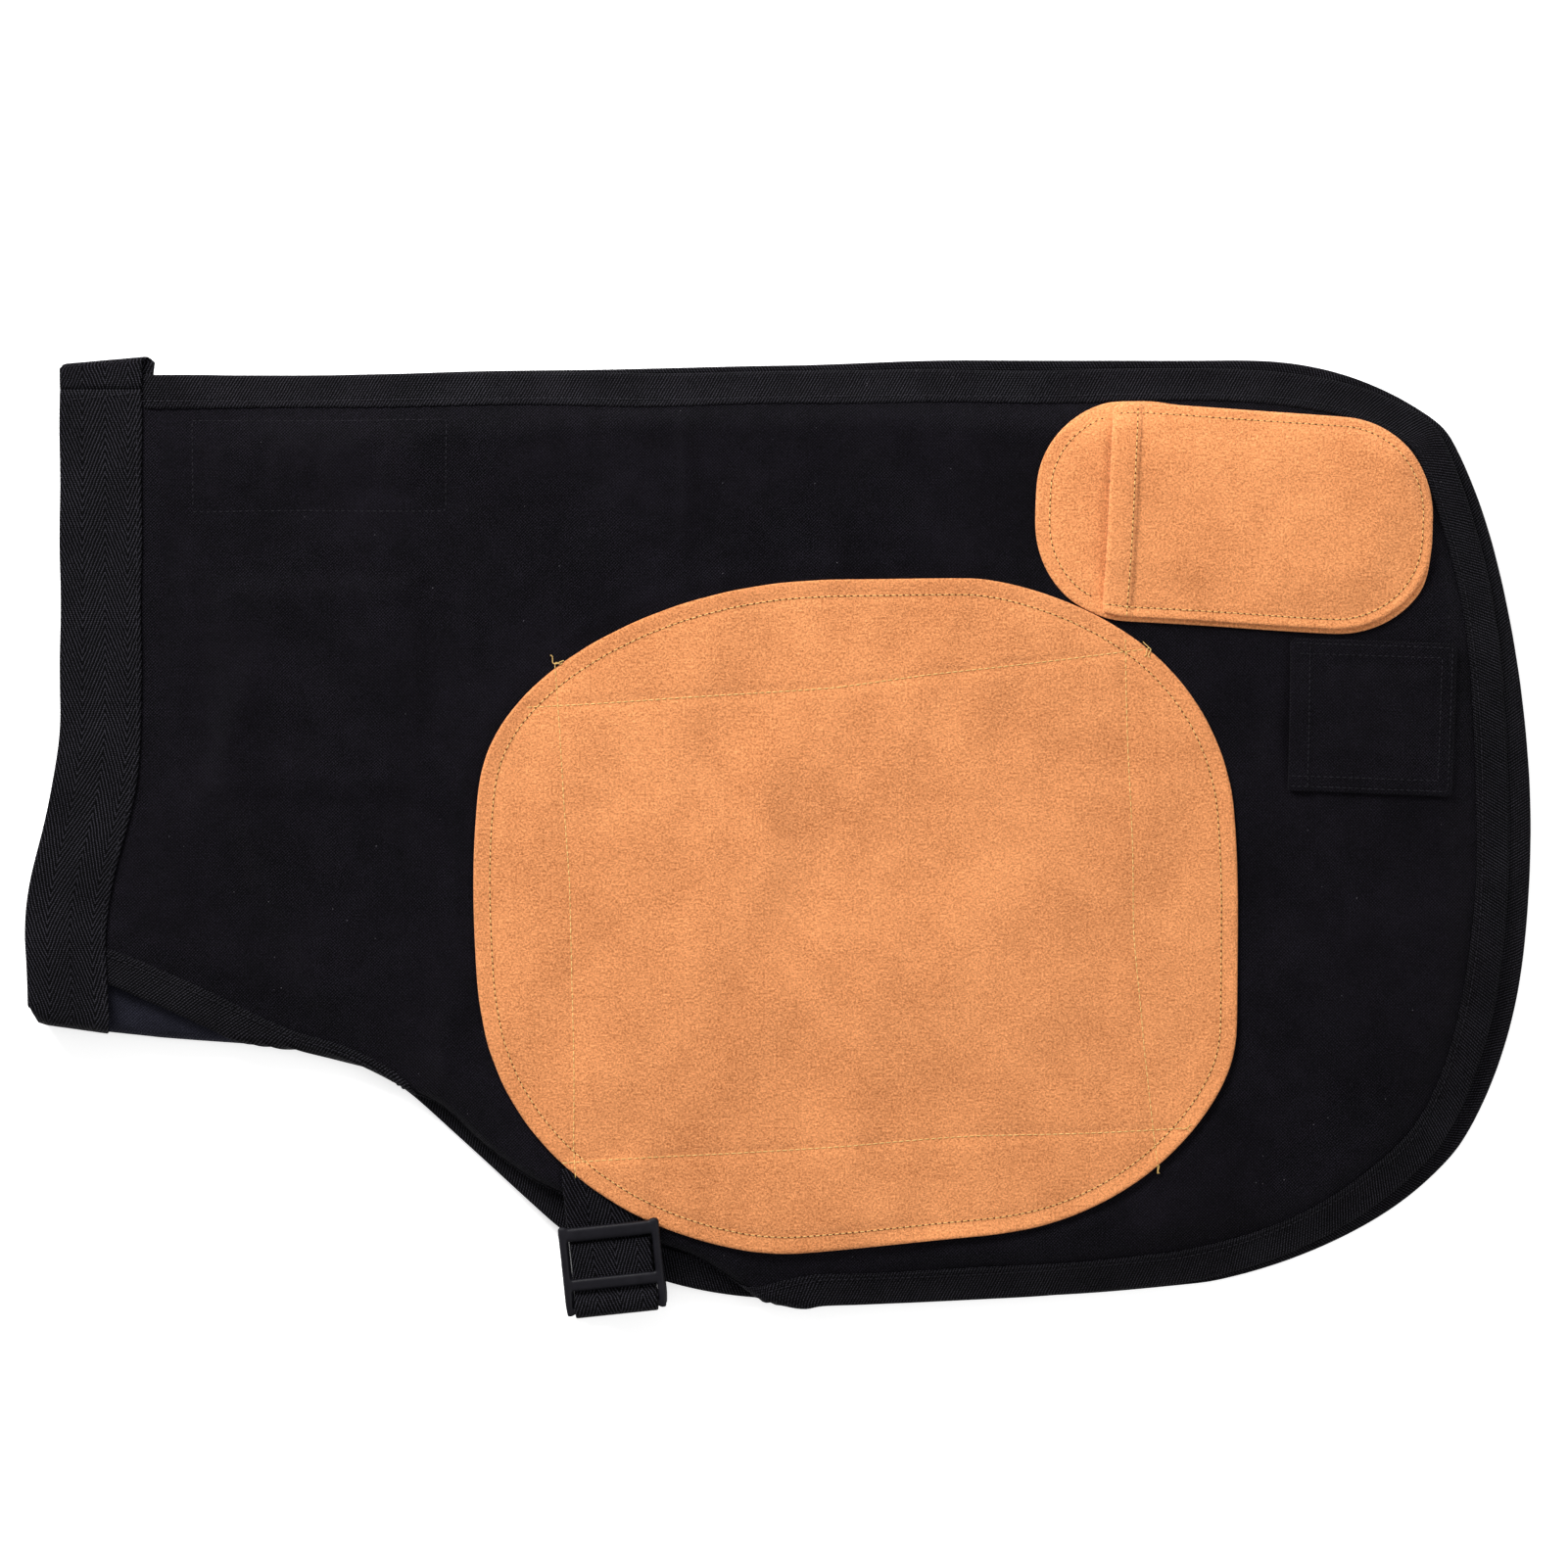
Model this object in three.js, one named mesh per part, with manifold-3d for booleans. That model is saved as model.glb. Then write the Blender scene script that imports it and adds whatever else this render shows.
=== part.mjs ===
// Two-legged canvas welding apron with suede thigh patches, folded in half at the centre of its
// waistband and laid flat with both fronts outward.
//
// Millimetres, +Z up. +X runs from the waist to the rounded hems, +Y to the outer side of the legs.
// The upper leg is modelled on the +Z side of the fold plane. The lower leg is the same set of
// pieces reflected in that plane, because the two legs are mirror images of each other.
// Every piece is one closed body, and touching pieces keep a gap of 0.3 mm.

import * as THREE from 'three';
import { mergeVertices } from 'three/addons/utils/BufferGeometryUtils.js';
import Module from 'manifold-3d';

const wasm = await Module();
wasm.setup();

// ---------------------------------------------------------------- driving dimensions (mm)

const gap = 0.3; // clearance between two pieces that touch
const layerGap = 8; // room between the two leg canvases, for the belt and the straps
const canvasThickness = 1;
const suedeThickness = 1.4;
const tapeThickness = 0.8; // edge binding tape, folded over the canvas edge
const bindingWidth = 15.5; // how far the folded tape reaches in from the edge
const strapWidth = 38; // all webbing: waistband, belt tails, tabs and thigh straps
const strapThickness = 1.4;

const legLength = 684.7; // from the waist edge to the end of the lower leg's rounded hem
const upperDraw = 10.9; // the upper leg lies over the belt and the straps, so it reaches less far
const legTop = 215; // outer edge of a leg at the waist
const legBottom = -216.5; // lowest point of the inner edge, at the knee
const centreFold = -80; // where the waistband starts to turn round the apron's centre line

const waistX = -314.2; // centre line of the straight part of the waistband
const waistBow = 16.5; // how far the centre line moves out towards the centre fold
const waistEndX = waistX - waistBow + 1.5; // centre line at the centre fold
const waistFoldTilt = -8; // degrees, slant of the folded end of the waistband
const waistTop = legTop - 7; // where the waistband webbing turns over as a belt tail
const turnReach = legTop + 4.5; // centre of the turned-over end
const tailStart = legTop - 25; // where the belt tail lies flat between the legs

// Each leg: the end of its hem, how far its outer edge rises towards the hem, and how far the
// shoulder of the hem draws in.
const lowerHem = waistX - strapWidth / 2 + legLength;
const legSizes = {
    upper: { hem: lowerHem - upperDraw, rise: 3, shoulder: 8 },
    lower: { hem: lowerHem, rise: 8, shoulder: 15 },
};

const patchEnds = [waistX + 172.2, lowerHem - 137.5]; // towards the waist, towards the hem
const thighPatchSize = {
    length: patchEnds[1] - patchEnds[0],
    width: legTop - legBottom - 119.5,
    x: (patchEnds[0] + patchEnds[1]) / 2,
    y: (legTop + legBottom) / 2 - 35.25,
};
const backingMargin = 7; // the canvas behind the thigh patch reaches this much further

const pocketRoom = 4.8; // open height inside each pocket
const seamWidth = 4; // sewn margin of a pocket front
const knifePocket = {
    length: 186.5,
    width: 118.5 - bindingWidth, // from the edge binding to the thigh patch
    corner: 44,
    x: legSizes.upper.hem - 128.1,
    y: legTop - bindingWidth / 2 - 58.35,
    tilt: -3.4, // degrees
};
const knifeMouth = -60; // mouth of the front panel, from the pocket's centre
const knifeFrontInset = 2; // the back panel shows this much round the front panel
const toolPocket = {
    length: 77,
    width: 71,
    corner: 1.5,
    x: legSizes.upper.hem - 65.1,
    y: knifePocket.y - 92.9,
    tilt: -2, // degrees
};

const magnetPocket = { length: 123, width: 47, corner: 2, x: waistX + 101.2, y: legTop - 42.5 };
const magnetCount = 4;
const magnetPitch = 26;
const magnetRadius = 10;
const magnetThickness = 2;
const magnetBackingThickness = 0.8;

const lock = {
    x: patchEnds[0] + 67.2, // centre of the anchor bar
    y: legBottom - 0.8,
    tilt: 6, // degrees
    railWidth: 3.4,
    thickness: 3.4,
    barRadius: 1.7,
    strapPlay: 0.8, // from the webbing's edge to each rail
    middleBar: [9, 15], // distances inwards from the anchor bar
    endBar: [32.5, 38.5],
    nose: 3, // the rails reach this far past the anchor bar
    corner: 3,
};
const tabLength = 78; // webbing tab, from the anchor bar to well inside the thigh patch's edge

const thighStrap = { x: lock.x + 12.8, top: legTop - 8, length: 250 };
// The belt tails slant away from the waist. The upper one ends in the belt's buckle, and slants
// further so that the buckle clears the lower one.
const upperTailLength = 160;
const tailSpread = Math.asin((strapWidth + 6) / upperTailLength);
const lowerTail = { angle: 8, length: 190 };
const upperTail = {
    angle: lowerTail.angle + THREE.MathUtils.radToDeg(tailSpread),
    length: upperTailLength,
};
const beltTails = { upper: upperTail, lower: lowerTail };
const through = 20; // more than the height of anything that a cut goes right through

// ---------------------------------------------------------------- levels above the fold plane

const canvasIn = layerGap / 2;
const canvasMiddle = canvasIn + canvasThickness / 2;
const canvasOut = canvasIn + canvasThickness;
const frontLevel = canvasOut + gap; // underside of what is sewn on the front
const knifeFrontLevel = frontLevel + suedeThickness + gap;
const bindingHalf = canvasThickness / 2 + gap + tapeThickness;
const tabLevel = canvasMiddle + bindingHalf + gap;
const loopInner = lock.barRadius + gap;
const loopOuter = loopInner + strapThickness;
const lockBarLevel = tabLevel + loopOuter;
const tailLevel = canvasIn - gap - strapThickness;
const beltBarLevel = tailLevel + strapThickness - loopOuter;
const backingLevel = canvasIn - gap - canvasThickness;
const thighStrapLevel = backingLevel - gap - strapThickness;

// ---------------------------------------------------------------- colours

function finish(color, roughness, metalness = 0) {
    return () => new THREE.MeshStandardMaterial({ color, roughness, metalness });
}
const canvasFinish = finish('#17161b', 0.95);
const tapeFinish = finish('#1c1b20', 0.85);
const webbingFinish = finish('#1e1d22', 0.8);
const suedeFinish = finish('#dd9159', 0.95);
const plasticFinish = finish('#26252b', 0.45);
const magnetFinish = finish('#b8babd', 0.3, 0.9);

// ---------------------------------------------------------------- shape helpers

const radians = THREE.MathUtils.degToRad;

function toShape(points) {
    return new THREE.Shape(points);
}

// Moves every point of a closed counter-clockwise outline inwards by a distance.
function inset(points, distance) {
    return points.map((point, i) => {
        const before = points[(i + points.length - 1) % points.length];
        const after = points[(i + 1) % points.length];
        const along = after.clone().sub(before).normalize();
        return new THREE.Vector2(point.x - along.y * distance, point.y + along.x * distance);
    });
}

// A flat piece: a plan outline, its underside's level and its thickness.
function slab(shape, level, thickness) {
    const options = { depth: thickness, bevelEnabled: false, curveSegments: 10 };
    return new THREE.ExtrudeGeometry(shape, options).translate(0, 0, level);
}

// The plan outline of webbing of a given width that follows a curve, between two offsets.
function alongCurve(curve, left, right, divisions) {
    const sides = [[], []];
    for (let i = 0; i <= divisions; i++) {
        const point = curve.getPoint(i / divisions);
        const along = curve.getTangent(i / divisions);
        [left, right].forEach((offset, side) => {
            sides[side].push(new THREE.Vector2(point.x + along.y * offset, point.y - along.x * offset));
        });
    }
    return toShape([...sides[0], ...sides[1].reverse()]);
}

function roundedRectangle(x0, y0, x1, y1, corner) {
    const shape = new THREE.Shape();
    shape.moveTo(x0 + corner, y0);
    shape.absarc(x1 - corner, y0 + corner, corner, -Math.PI / 2, 0);
    shape.absarc(x1 - corner, y1 - corner, corner, 0, Math.PI / 2);
    shape.absarc(x0 + corner, y1 - corner, corner, Math.PI / 2, Math.PI);
    shape.absarc(x0 + corner, y0 + corner, corner, Math.PI, Math.PI * 1.5);
    return shape;
}

function centredRectangle(size, margin = 0) {
    const halfLength = size.length / 2 - margin;
    const halfWidth = size.width / 2 - margin;
    return roundedRectangle(-halfLength, -halfWidth, halfLength, halfWidth, size.corner);
}

function place(geometry, spot) {
    return geometry.rotateZ(radians(spot.tilt ?? 0)).translate(spot.x, spot.y, spot.z ?? 0);
}

// A side profile drawn in (outward distance, level), given the webbing's or the bar's width.
function profile(shape, width) {
    const options = { depth: width, bevelEnabled: false, curveSegments: 12 };
    const geometry = new THREE.ExtrudeGeometry(shape, options).translate(0, 0, -width / 2);
    return geometry.rotateX(Math.PI / 2).rotateZ(-Math.PI / 2);
}

// ---------------------------------------------------------------- joining and cutting

function toSolid(geometry) {
    const bare = geometry.clone();
    bare.deleteAttribute('normal');
    bare.deleteAttribute('uv');
    const merged = mergeVertices(bare, 1e-4);
    return new wasm.Manifold(new wasm.Mesh({
        numProp: 3,
        vertProperties: new Float32Array(merged.attributes.position.array),
        triVerts: new Uint32Array(merged.index.array),
    }));
}

function toGeometry(solid) {
    const mesh = solid.getMesh();
    const geometry = new THREE.BufferGeometry();
    geometry.setAttribute('position', new THREE.BufferAttribute(mesh.vertProperties, 3));
    geometry.setIndex(new THREE.BufferAttribute(mesh.triVerts, 1));
    return geometry;
}

function cut(geometry, ...tools) {
    return toGeometry(tools.reduce((solid, tool) => solid.subtract(toSolid(tool)), toSolid(geometry)));
}

function join(geometry, ...others) {
    return toGeometry(others.reduce((solid, other) => solid.add(toSolid(other)), toSolid(geometry)));
}

function keep(geometry, region) {
    return toGeometry(toSolid(geometry).intersect(toSolid(region)));
}

// Reflects a piece in the fold plane, turning its triangles over so that they still face out.
function reflected(geometry) {
    const flat = geometry.index ? geometry.toNonIndexed() : geometry.clone();
    flat.deleteAttribute('normal');
    flat.scale(1, 1, -1);
    const positions = flat.attributes.position;
    for (let i = 0; i < positions.count; i += 3) {
        const a = new THREE.Vector3().fromBufferAttribute(positions, i + 1);
        const b = new THREE.Vector3().fromBufferAttribute(positions, i + 2);
        positions.setXYZ(i + 1, b.x, b.y, b.z);
        positions.setXYZ(i + 2, a.x, a.y, a.z);
    }
    return flat;
}

// ---------------------------------------------------------------- plan outlines

// The edge of a leg, counter-clockwise from the waist's outer corner: down the waist, along the
// inner edge with its flare above the knee, round the hem and back along the outer edge.
function legOutline({ hem, rise, shoulder }) {
    const left = waistX - strapWidth / 2 + 3;
    const outer = legTop + rise;
    const edge = new THREE.Path();
    edge.moveTo(left, legTop);
    edge.lineTo(left, 60);
    edge.bezierCurveTo(left + 1, 10, left - 13, -20, left - 13, centreFold + 10);
    edge.lineTo(waistX, centreFold);
    edge.lineTo(waistX + 74, centreFold - 16);
    edge.bezierCurveTo(waistX + 109, centreFold - 20, -182, legBottom + 108, -165, legBottom + 92);
    edge.lineTo(-102.6, legBottom + 35);
    edge.bezierCurveTo(-62, legBottom + 4, -15, legBottom, 30, legBottom);
    edge.bezierCurveTo(70, legBottom, hem - 220, legBottom + 2, hem - 150, legBottom + 9);
    edge.bezierCurveTo(hem - 95, legBottom + 20, hem - 58, legBottom + 44, hem - 34, legBottom + 71);
    edge.bezierCurveTo(hem - 10, legBottom + 106, hem, -60, hem, 5);
    edge.bezierCurveTo(hem, 75, hem - shoulder, legTop - 71, hem - shoulder - 25, legTop - 24);
    edge.bezierCurveTo(
        hem - shoulder - 45, legTop - 8, hem - shoulder - 75, outer, hem - shoulder - 122, outer);
    edge.bezierCurveTo(hem - 200, outer, hem - 280, outer, -40, (outer + legTop) / 2);
    edge.lineTo(waistX + 24, legTop);
    const points = edge.getPoints(9);
    return points.filter((point, i) => i === 0 || point.distanceTo(points[i - 1]) > 0.5);
}

// The suede patch over the thigh, counter-clockwise from the left end of its top side: four
// gently bowed sides joined by wide, uneven corners.
function thighPatchShape() {
    const a = thighPatchSize.length / 2;
    const b = thighPatchSize.width / 2;
    const shape = new THREE.Shape();
    shape.moveTo(-11, b);
    shape.bezierCurveTo(-91, b - 1, -a + 9, b - 45, -a + 3, b - 92);
    shape.quadraticCurveTo(-a - 2, 14, -a + 3, -b + 117);
    shape.bezierCurveTo(-a + 9, -b + 42, -a + 87, -b - 1, -a + 144.5, -b);
    shape.lineTo(a - 114, -b + 8.5);
    shape.bezierCurveTo(a - 49, -b + 14, a - 3, -b + 67, a - 1.3, -b + 99);
    shape.quadraticCurveTo(a + 0.5, 0, a - 4, b - 98);
    shape.bezierCurveTo(a - 14, b - 35, a - 74, b - 6, a - 120.5, b);
    return shape;
}

function thighPatchOutline(margin) {
    const spot = new THREE.Vector2(thighPatchSize.x, thighPatchSize.y);
    return inset(thighPatchShape().getPoints(10).map((point) => point.add(spot)), -margin);
}

// Centre line of a waistband half, from the turned-over end down to the centre fold, with an
// equal extra length at both ends.
function waistLine(extra = 0) {
    const line = new THREE.CurvePath();
    const bend = new THREE.Vector2(waistX, 60);
    const low = new THREE.Vector2(waistX - waistBow, centreFold + 32);
    const towards = new THREE.Vector2(waistX - waistBow, centreFold + 70);
    const end = new THREE.Vector2(waistEndX, centreFold);
    const beyond = end.clone().sub(low).setLength(extra);
    line.add(new THREE.LineCurve(new THREE.Vector2(waistX, waistTop + extra), bend));
    line.add(new THREE.CubicBezierCurve(bend, new THREE.Vector2(waistX, 10), towards, low));
    line.add(new THREE.LineCurve(low, end.add(beyond)));
    return line;
}

// Everything on the waist side of the waistband's inner edge, where no edge binding is sewn.
function waistSide() {
    return slab(alongCurve(waistLine(30), -(strapWidth / 2 + gap), 90, 24), 0, through);
}

// ---------------------------------------------------------------- soft pieces of one leg

function legCanvas(outline) {
    return slab(toShape(inset(outline, tapeThickness + gap)), canvasIn, canvasThickness);
}

// Tape folded over the canvas edge: a band with a groove that the canvas edge sits in.
function edgeBinding(outline) {
    const band = toShape(outline);
    band.holes.push(new THREE.Path(inset(outline, bindingWidth).reverse()));
    const folded = slab(band, canvasMiddle - bindingHalf, bindingHalf * 2);
    const groove = slab(toShape(inset(outline, tapeThickness)), canvasIn - gap, canvasThickness + gap * 2);
    return cut(folded, groove, waistSide());
}

// Half of the waistband, with the quarter turn of its centre fold reaching the fold plane.
function waistbandHalf() {
    const outline = alongCurve(waistLine(), -strapWidth / 2, strapWidth / 2, 24);
    const flat = slab(outline, frontLevel, strapThickness);
    const outer = frontLevel + strapThickness;
    const overlap = 4;
    const reach = 2;
    const turn = new THREE.Shape();
    turn.moveTo(-overlap, outer);
    turn.absarc(reach, 0, outer, Math.PI / 2, Math.asin(gap / 2 / outer), true);
    turn.absarc(reach, 0, frontLevel, Math.asin(gap / 2 / frontLevel), Math.PI / 2, false);
    turn.lineTo(-overlap, frontLevel);
    const spot = { x: waistEndX, y: centreFold, tilt: waistFoldTilt };
    return join(flat, place(profile(turn, strapWidth), spot));
}

// The waistband's webbing turned over the top corner of the leg, and the belt tail that it
// becomes between the two legs. The upper tail ends in a loop round its buckle's anchor bar.
function beltTail({ angle, length }, looped) {
    const inner = canvasThickness / 2 + gap;
    const outer = inner + strapThickness;
    const turn = new THREE.Shape();
    turn.moveTo(-(waistTop + gap), canvasMiddle + outer);
    turn.lineTo(-turnReach, canvasMiddle + outer);
    turn.absarc(-turnReach, canvasMiddle, outer, Math.PI / 2, Math.PI * 1.5, false);
    turn.lineTo(-tailStart, canvasMiddle - outer);
    turn.lineTo(-tailStart, canvasMiddle - inner);
    turn.lineTo(-turnReach, canvasMiddle - inner);
    turn.absarc(-turnReach, canvasMiddle, inner, Math.PI * 1.5, Math.PI / 2, true);
    turn.lineTo(-(waistTop + gap), canvasMiddle + inner);
    const parts = [slab(tailRun(angle, length), tailLevel, strapThickness)];
    if (looped) {
        parts.push(place(loop(0), beltLockSpot()));
    }
    return join(profile(turn, strapWidth).translate(waistX, 0, 0), ...parts);
}

function tailCurve(angle, length) {
    const bendLength = 20; // before and after the change of direction
    const start = new THREE.Vector2(waistX, tailStart + 2);
    const bend = new THREE.Vector2(waistX, start.y - bendLength);
    const heading = new THREE.Vector2(Math.sin(radians(angle)), -Math.cos(radians(angle)));
    const straightFrom = bend.clone().addScaledVector(heading, bendLength);
    const end = bend.clone().addScaledVector(heading, length - bendLength);
    const curve = new THREE.CurvePath();
    curve.add(new THREE.QuadraticBezierCurve(start, bend, straightFrom));
    curve.add(new THREE.LineCurve(straightFrom, end));
    return curve;
}

function tailRun(angle, length) {
    return alongCurve(tailCurve(angle, length), -strapWidth / 2, strapWidth / 2, 16);
}

// Where the belt's buckle sits: its anchor bar lies at the end of the upper belt tail.
function beltLockSpot() {
    const { angle, length } = beltTails.upper;
    const end = tailCurve(angle, length).getPoint(1);
    return { x: end.x, y: end.y, z: beltBarLevel, tilt: angle };
}

// Webbing wrapped round an anchor bar and sewn to itself, with a flat arm on one side of the
// loop: below it when the reach is positive, and none at all when the reach is 0.
function loop(reach) {
    const shape = new THREE.Shape();
    if (reach > 0) {
        shape.moveTo(-reach, -loopOuter);
        shape.lineTo(0, -loopOuter);
        shape.absarc(0, 0, loopOuter, -Math.PI / 2, Math.PI + Math.asin(loopInner / loopOuter), false);
        shape.lineTo(-reach, -loopInner);
    } else {
        shape.absarc(0, 0, loopOuter, 0, Math.PI * 2);
    }
    const bore = new THREE.Path();
    bore.absarc(0, 0, loopInner, 0, Math.PI * 2, true);
    shape.holes.push(bore);
    return profile(shape, strapWidth);
}

// The leg's webbing tab: it holds the buckle, and runs in as far as the thigh patch's edge.
function strapTab() {
    return cut(place(loop(tabLength), { ...lock, z: lockBarLevel }), patchSpace());
}

// The thigh patch with its clearance, over the whole height of the leg.
function patchSpace() {
    return slab(toShape(thighPatchOutline(gap)), 0, through);
}

function thighPatch() {
    return slab(toShape(thighPatchOutline(0)), frontLevel, suedeThickness);
}

function thighBacking() {
    return slab(toShape(thighPatchOutline(backingMargin)), backingLevel, canvasThickness);
}

// The pocket's back panel lies between the edge binding and the thigh patch.
function knifePocketBack(outline) {
    const panel = place(slab(centredRectangle(knifePocket), frontLevel, suedeThickness), knifePocket);
    const between = slab(toShape(inset(outline, bindingWidth + gap)), 0, through);
    return cut(keep(panel, between), patchSpace());
}

// A pocket front: sewn down along three sides, and open towards the waist at its mouth.
function pocketFront(size, margin, mouth, level, thickness) {
    const height = pocketRoom + thickness;
    const shell = slab(centredRectangle(size, margin), level, height);
    const halfRoom = size.width / 2 - margin - seamWidth;
    const far = size.length;
    const room = slab(centredRectangle(size, margin + seamWidth), 0, level + pocketRoom);
    const wayIn = slab(roundedRectangle(-far, -halfRoom, mouth + size.corner + seamWidth, halfRoom, 1),
        0, level + pocketRoom);
    const beyond = slab(roundedRectangle(-far, -far, mouth, far, 1), 0, through);
    return place(cut(shell, room, wayIn, beyond), size);
}

function knifePocketFront() {
    return pocketFront(knifePocket, knifeFrontInset, knifeMouth, knifeFrontLevel, suedeThickness);
}

function toolPocketFront() {
    return pocketFront(toolPocket, 0, -toolPocket.length / 2, frontLevel, canvasThickness);
}

function magnet(index) {
    const x = magnetPocket.x + (index - (magnetCount - 1) / 2) * magnetPitch;
    const level = canvasIn - gap - magnetThickness / 2;
    return new THREE.CylinderGeometry(magnetRadius, magnetRadius, magnetThickness, 24)
        .rotateX(Math.PI / 2).translate(x, magnetPocket.y, level);
}

function magnetBacking() {
    const level = canvasIn - gap * 2 - magnetThickness - magnetBackingThickness;
    return place(slab(centredRectangle(magnetPocket), level, magnetBackingThickness), magnetPocket);
}

function thighStrapPiece() {
    const { x, top, length } = thighStrap;
    const outline = roundedRectangle(x - strapWidth / 2, top - length, x + strapWidth / 2, top, 0.5);
    return slab(outline, thighStrapLevel, strapThickness);
}

// ---------------------------------------------------------------- ladder-lock buckle

// Frame of the buckle in (sideways, outwards) from its anchor bar: two rails, the end bar and
// the middle bar with the strap slot between them, and the round anchor bar between the rails.
function ladderLock(spot) {
    const half = strapWidth / 2 + lock.strapPlay + lock.railWidth;
    const slotHalf = half - lock.railWidth;
    const [middleNear, middleFar] = lock.middleBar;
    const [endNear, endFar] = lock.endBar;
    const frame = roundedRectangle(-half, -lock.nose, half, endFar, lock.corner);
    const plate = slab(frame, -lock.thickness / 2, lock.thickness);
    const opening = (from, to) =>
        slab(roundedRectangle(-slotHalf, from, slotHalf, to, 0.8), -through / 2, through);
    const slot = opening(middleFar, endNear);
    const mouth = opening(-through, middleNear);
    const bar = new THREE.CylinderGeometry(lock.barRadius, lock.barRadius, slotHalf * 2 + lock.railWidth, 16)
        .rotateZ(Math.PI / 2);
    return place(join(cut(plate, slot, mouth), bar), spot);
}

// ---------------------------------------------------------------- assembly

const apron = new THREE.Group();
apron.name = 'welding_apron';

function addLeg(side) {
    const leg = new THREE.Group();
    const outline = legOutline(legSizes[side]);
    const add = (name, geometry, makeFinish) => {
        const mesh = new THREE.Mesh(side === 'lower' ? reflected(geometry) : geometry, makeFinish());
        mesh.name = `${side}_${name}`;
        leg.add(mesh);
    };
    add('leg_canvas', legCanvas(outline), canvasFinish);
    add('edge_binding', edgeBinding(outline), tapeFinish);
    add('waistband', waistbandHalf(), webbingFinish);
    add('belt_tail', beltTail(beltTails[side], side === 'upper'), webbingFinish);
    add('thigh_patch', thighPatch(), suedeFinish);
    add('thigh_backing', thighBacking(), canvasFinish);
    add('knife_pocket_back', knifePocketBack(outline), suedeFinish);
    add('knife_pocket_front', knifePocketFront(), suedeFinish);
    add('tool_pocket', toolPocketFront(), canvasFinish);
    add('magnet_backing', magnetBacking(), canvasFinish);
    for (let i = 0; i < magnetCount; i++) {
        add(`magnet_${i + 1}`, magnet(i), magnetFinish);
    }
    add('thigh_strap', thighStrapPiece(), webbingFinish);
    add('strap_tab', strapTab(), webbingFinish);
    add('ladder_lock', ladderLock({ ...lock, z: lockBarLevel }), plasticFinish);
    apron.add(leg);
}

addLeg('upper');
addLeg('lower');

const beltLockPlace = beltLockSpot();
const beltLock = new THREE.Mesh(
    ladderLock({ ...beltLockPlace, tilt: beltLockPlace.tilt + 180 }), plasticFinish());
beltLock.name = 'belt_ladder_lock';
apron.add(beltLock);

// The origin is the middle of the underside of the folded apron.
const extent = new THREE.Box3().setFromObject(apron);
const middle = extent.getCenter(new THREE.Vector3());
apron.position.set(-middle.x, -middle.y, -extent.min.z);

export default apron;
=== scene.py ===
"""Blender 4.5 scene: a folded two-legged canvas welding apron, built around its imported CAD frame.

Lengths are millimetres in the row frame until a mesh is made, which is in metres. A leg's pieces are
laid out flat, at a height above the middle of that leg's canvas, and Leg.place() then puts them where
the cloth lies: it rolls, droops and wrinkles every piece of the leg together.
"""

import math

import bpy
import numpy as np
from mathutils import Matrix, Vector
from mathutils.geometry import convex_hull_2d, delaunay_2d_cdt
from mathutils.kdtree import KDTree


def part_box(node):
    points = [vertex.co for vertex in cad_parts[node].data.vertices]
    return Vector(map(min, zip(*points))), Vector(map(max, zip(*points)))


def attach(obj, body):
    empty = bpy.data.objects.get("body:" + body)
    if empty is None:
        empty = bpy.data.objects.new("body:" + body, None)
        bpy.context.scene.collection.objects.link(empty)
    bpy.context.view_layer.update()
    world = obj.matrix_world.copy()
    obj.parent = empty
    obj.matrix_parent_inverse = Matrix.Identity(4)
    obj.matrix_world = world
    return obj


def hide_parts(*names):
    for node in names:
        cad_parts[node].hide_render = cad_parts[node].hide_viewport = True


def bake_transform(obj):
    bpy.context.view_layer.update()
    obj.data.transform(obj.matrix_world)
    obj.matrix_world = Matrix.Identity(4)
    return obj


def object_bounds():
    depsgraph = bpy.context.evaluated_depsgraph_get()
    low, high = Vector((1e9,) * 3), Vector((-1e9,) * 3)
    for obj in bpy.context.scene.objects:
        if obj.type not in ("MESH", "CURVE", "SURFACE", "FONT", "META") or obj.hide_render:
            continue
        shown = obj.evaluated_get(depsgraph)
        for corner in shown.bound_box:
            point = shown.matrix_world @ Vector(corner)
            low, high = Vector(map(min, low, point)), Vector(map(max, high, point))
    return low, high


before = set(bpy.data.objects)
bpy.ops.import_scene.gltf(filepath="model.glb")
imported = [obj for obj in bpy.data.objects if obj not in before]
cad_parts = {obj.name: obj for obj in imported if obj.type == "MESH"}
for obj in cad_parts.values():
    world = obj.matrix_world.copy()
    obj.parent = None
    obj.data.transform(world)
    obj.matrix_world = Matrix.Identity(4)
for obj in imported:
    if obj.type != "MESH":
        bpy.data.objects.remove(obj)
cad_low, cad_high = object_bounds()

MM = 0.001

# ---------------------------------------------------------------- sizes (mm)

FOLD_LEVEL = (cad_low.z + cad_high.z) / 2 / MM
CANVAS_MIDDLE = 4.5  # from the fold plane to the middle of a leg's canvas
CANVAS_HALF = 0.5
SUEDE = 1.4
BINDING_WIDTH = 15.5
BINDING_HALF = 1.6
EDGE_TO_CANVAS = 1.1  # from a leg's outline to its canvas inside the folded tape
STRAP_WIDTH = 38
STRAP = 1.4
FRONT = 0.8  # height of the underside of what is sewn on a leg's front
FLOOR_CLEARANCE = 0.25
STITCH_PITCH = 3.0
ROLL_RADIUS = 2.2
EDGE_DROOP = 6.6  # how far a leg's edge hangs below its middle
UPPER_EXTRA_DROOP = 4.0  # and the upper leg's besides, where its edge is not rolled
FOLD_STRENGTH = 2.0


def box(node):
    low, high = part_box(node)
    return np.array(low) / MM, np.array(high) / MM


# ---------------------------------------------------------------- curves and outlines


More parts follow.
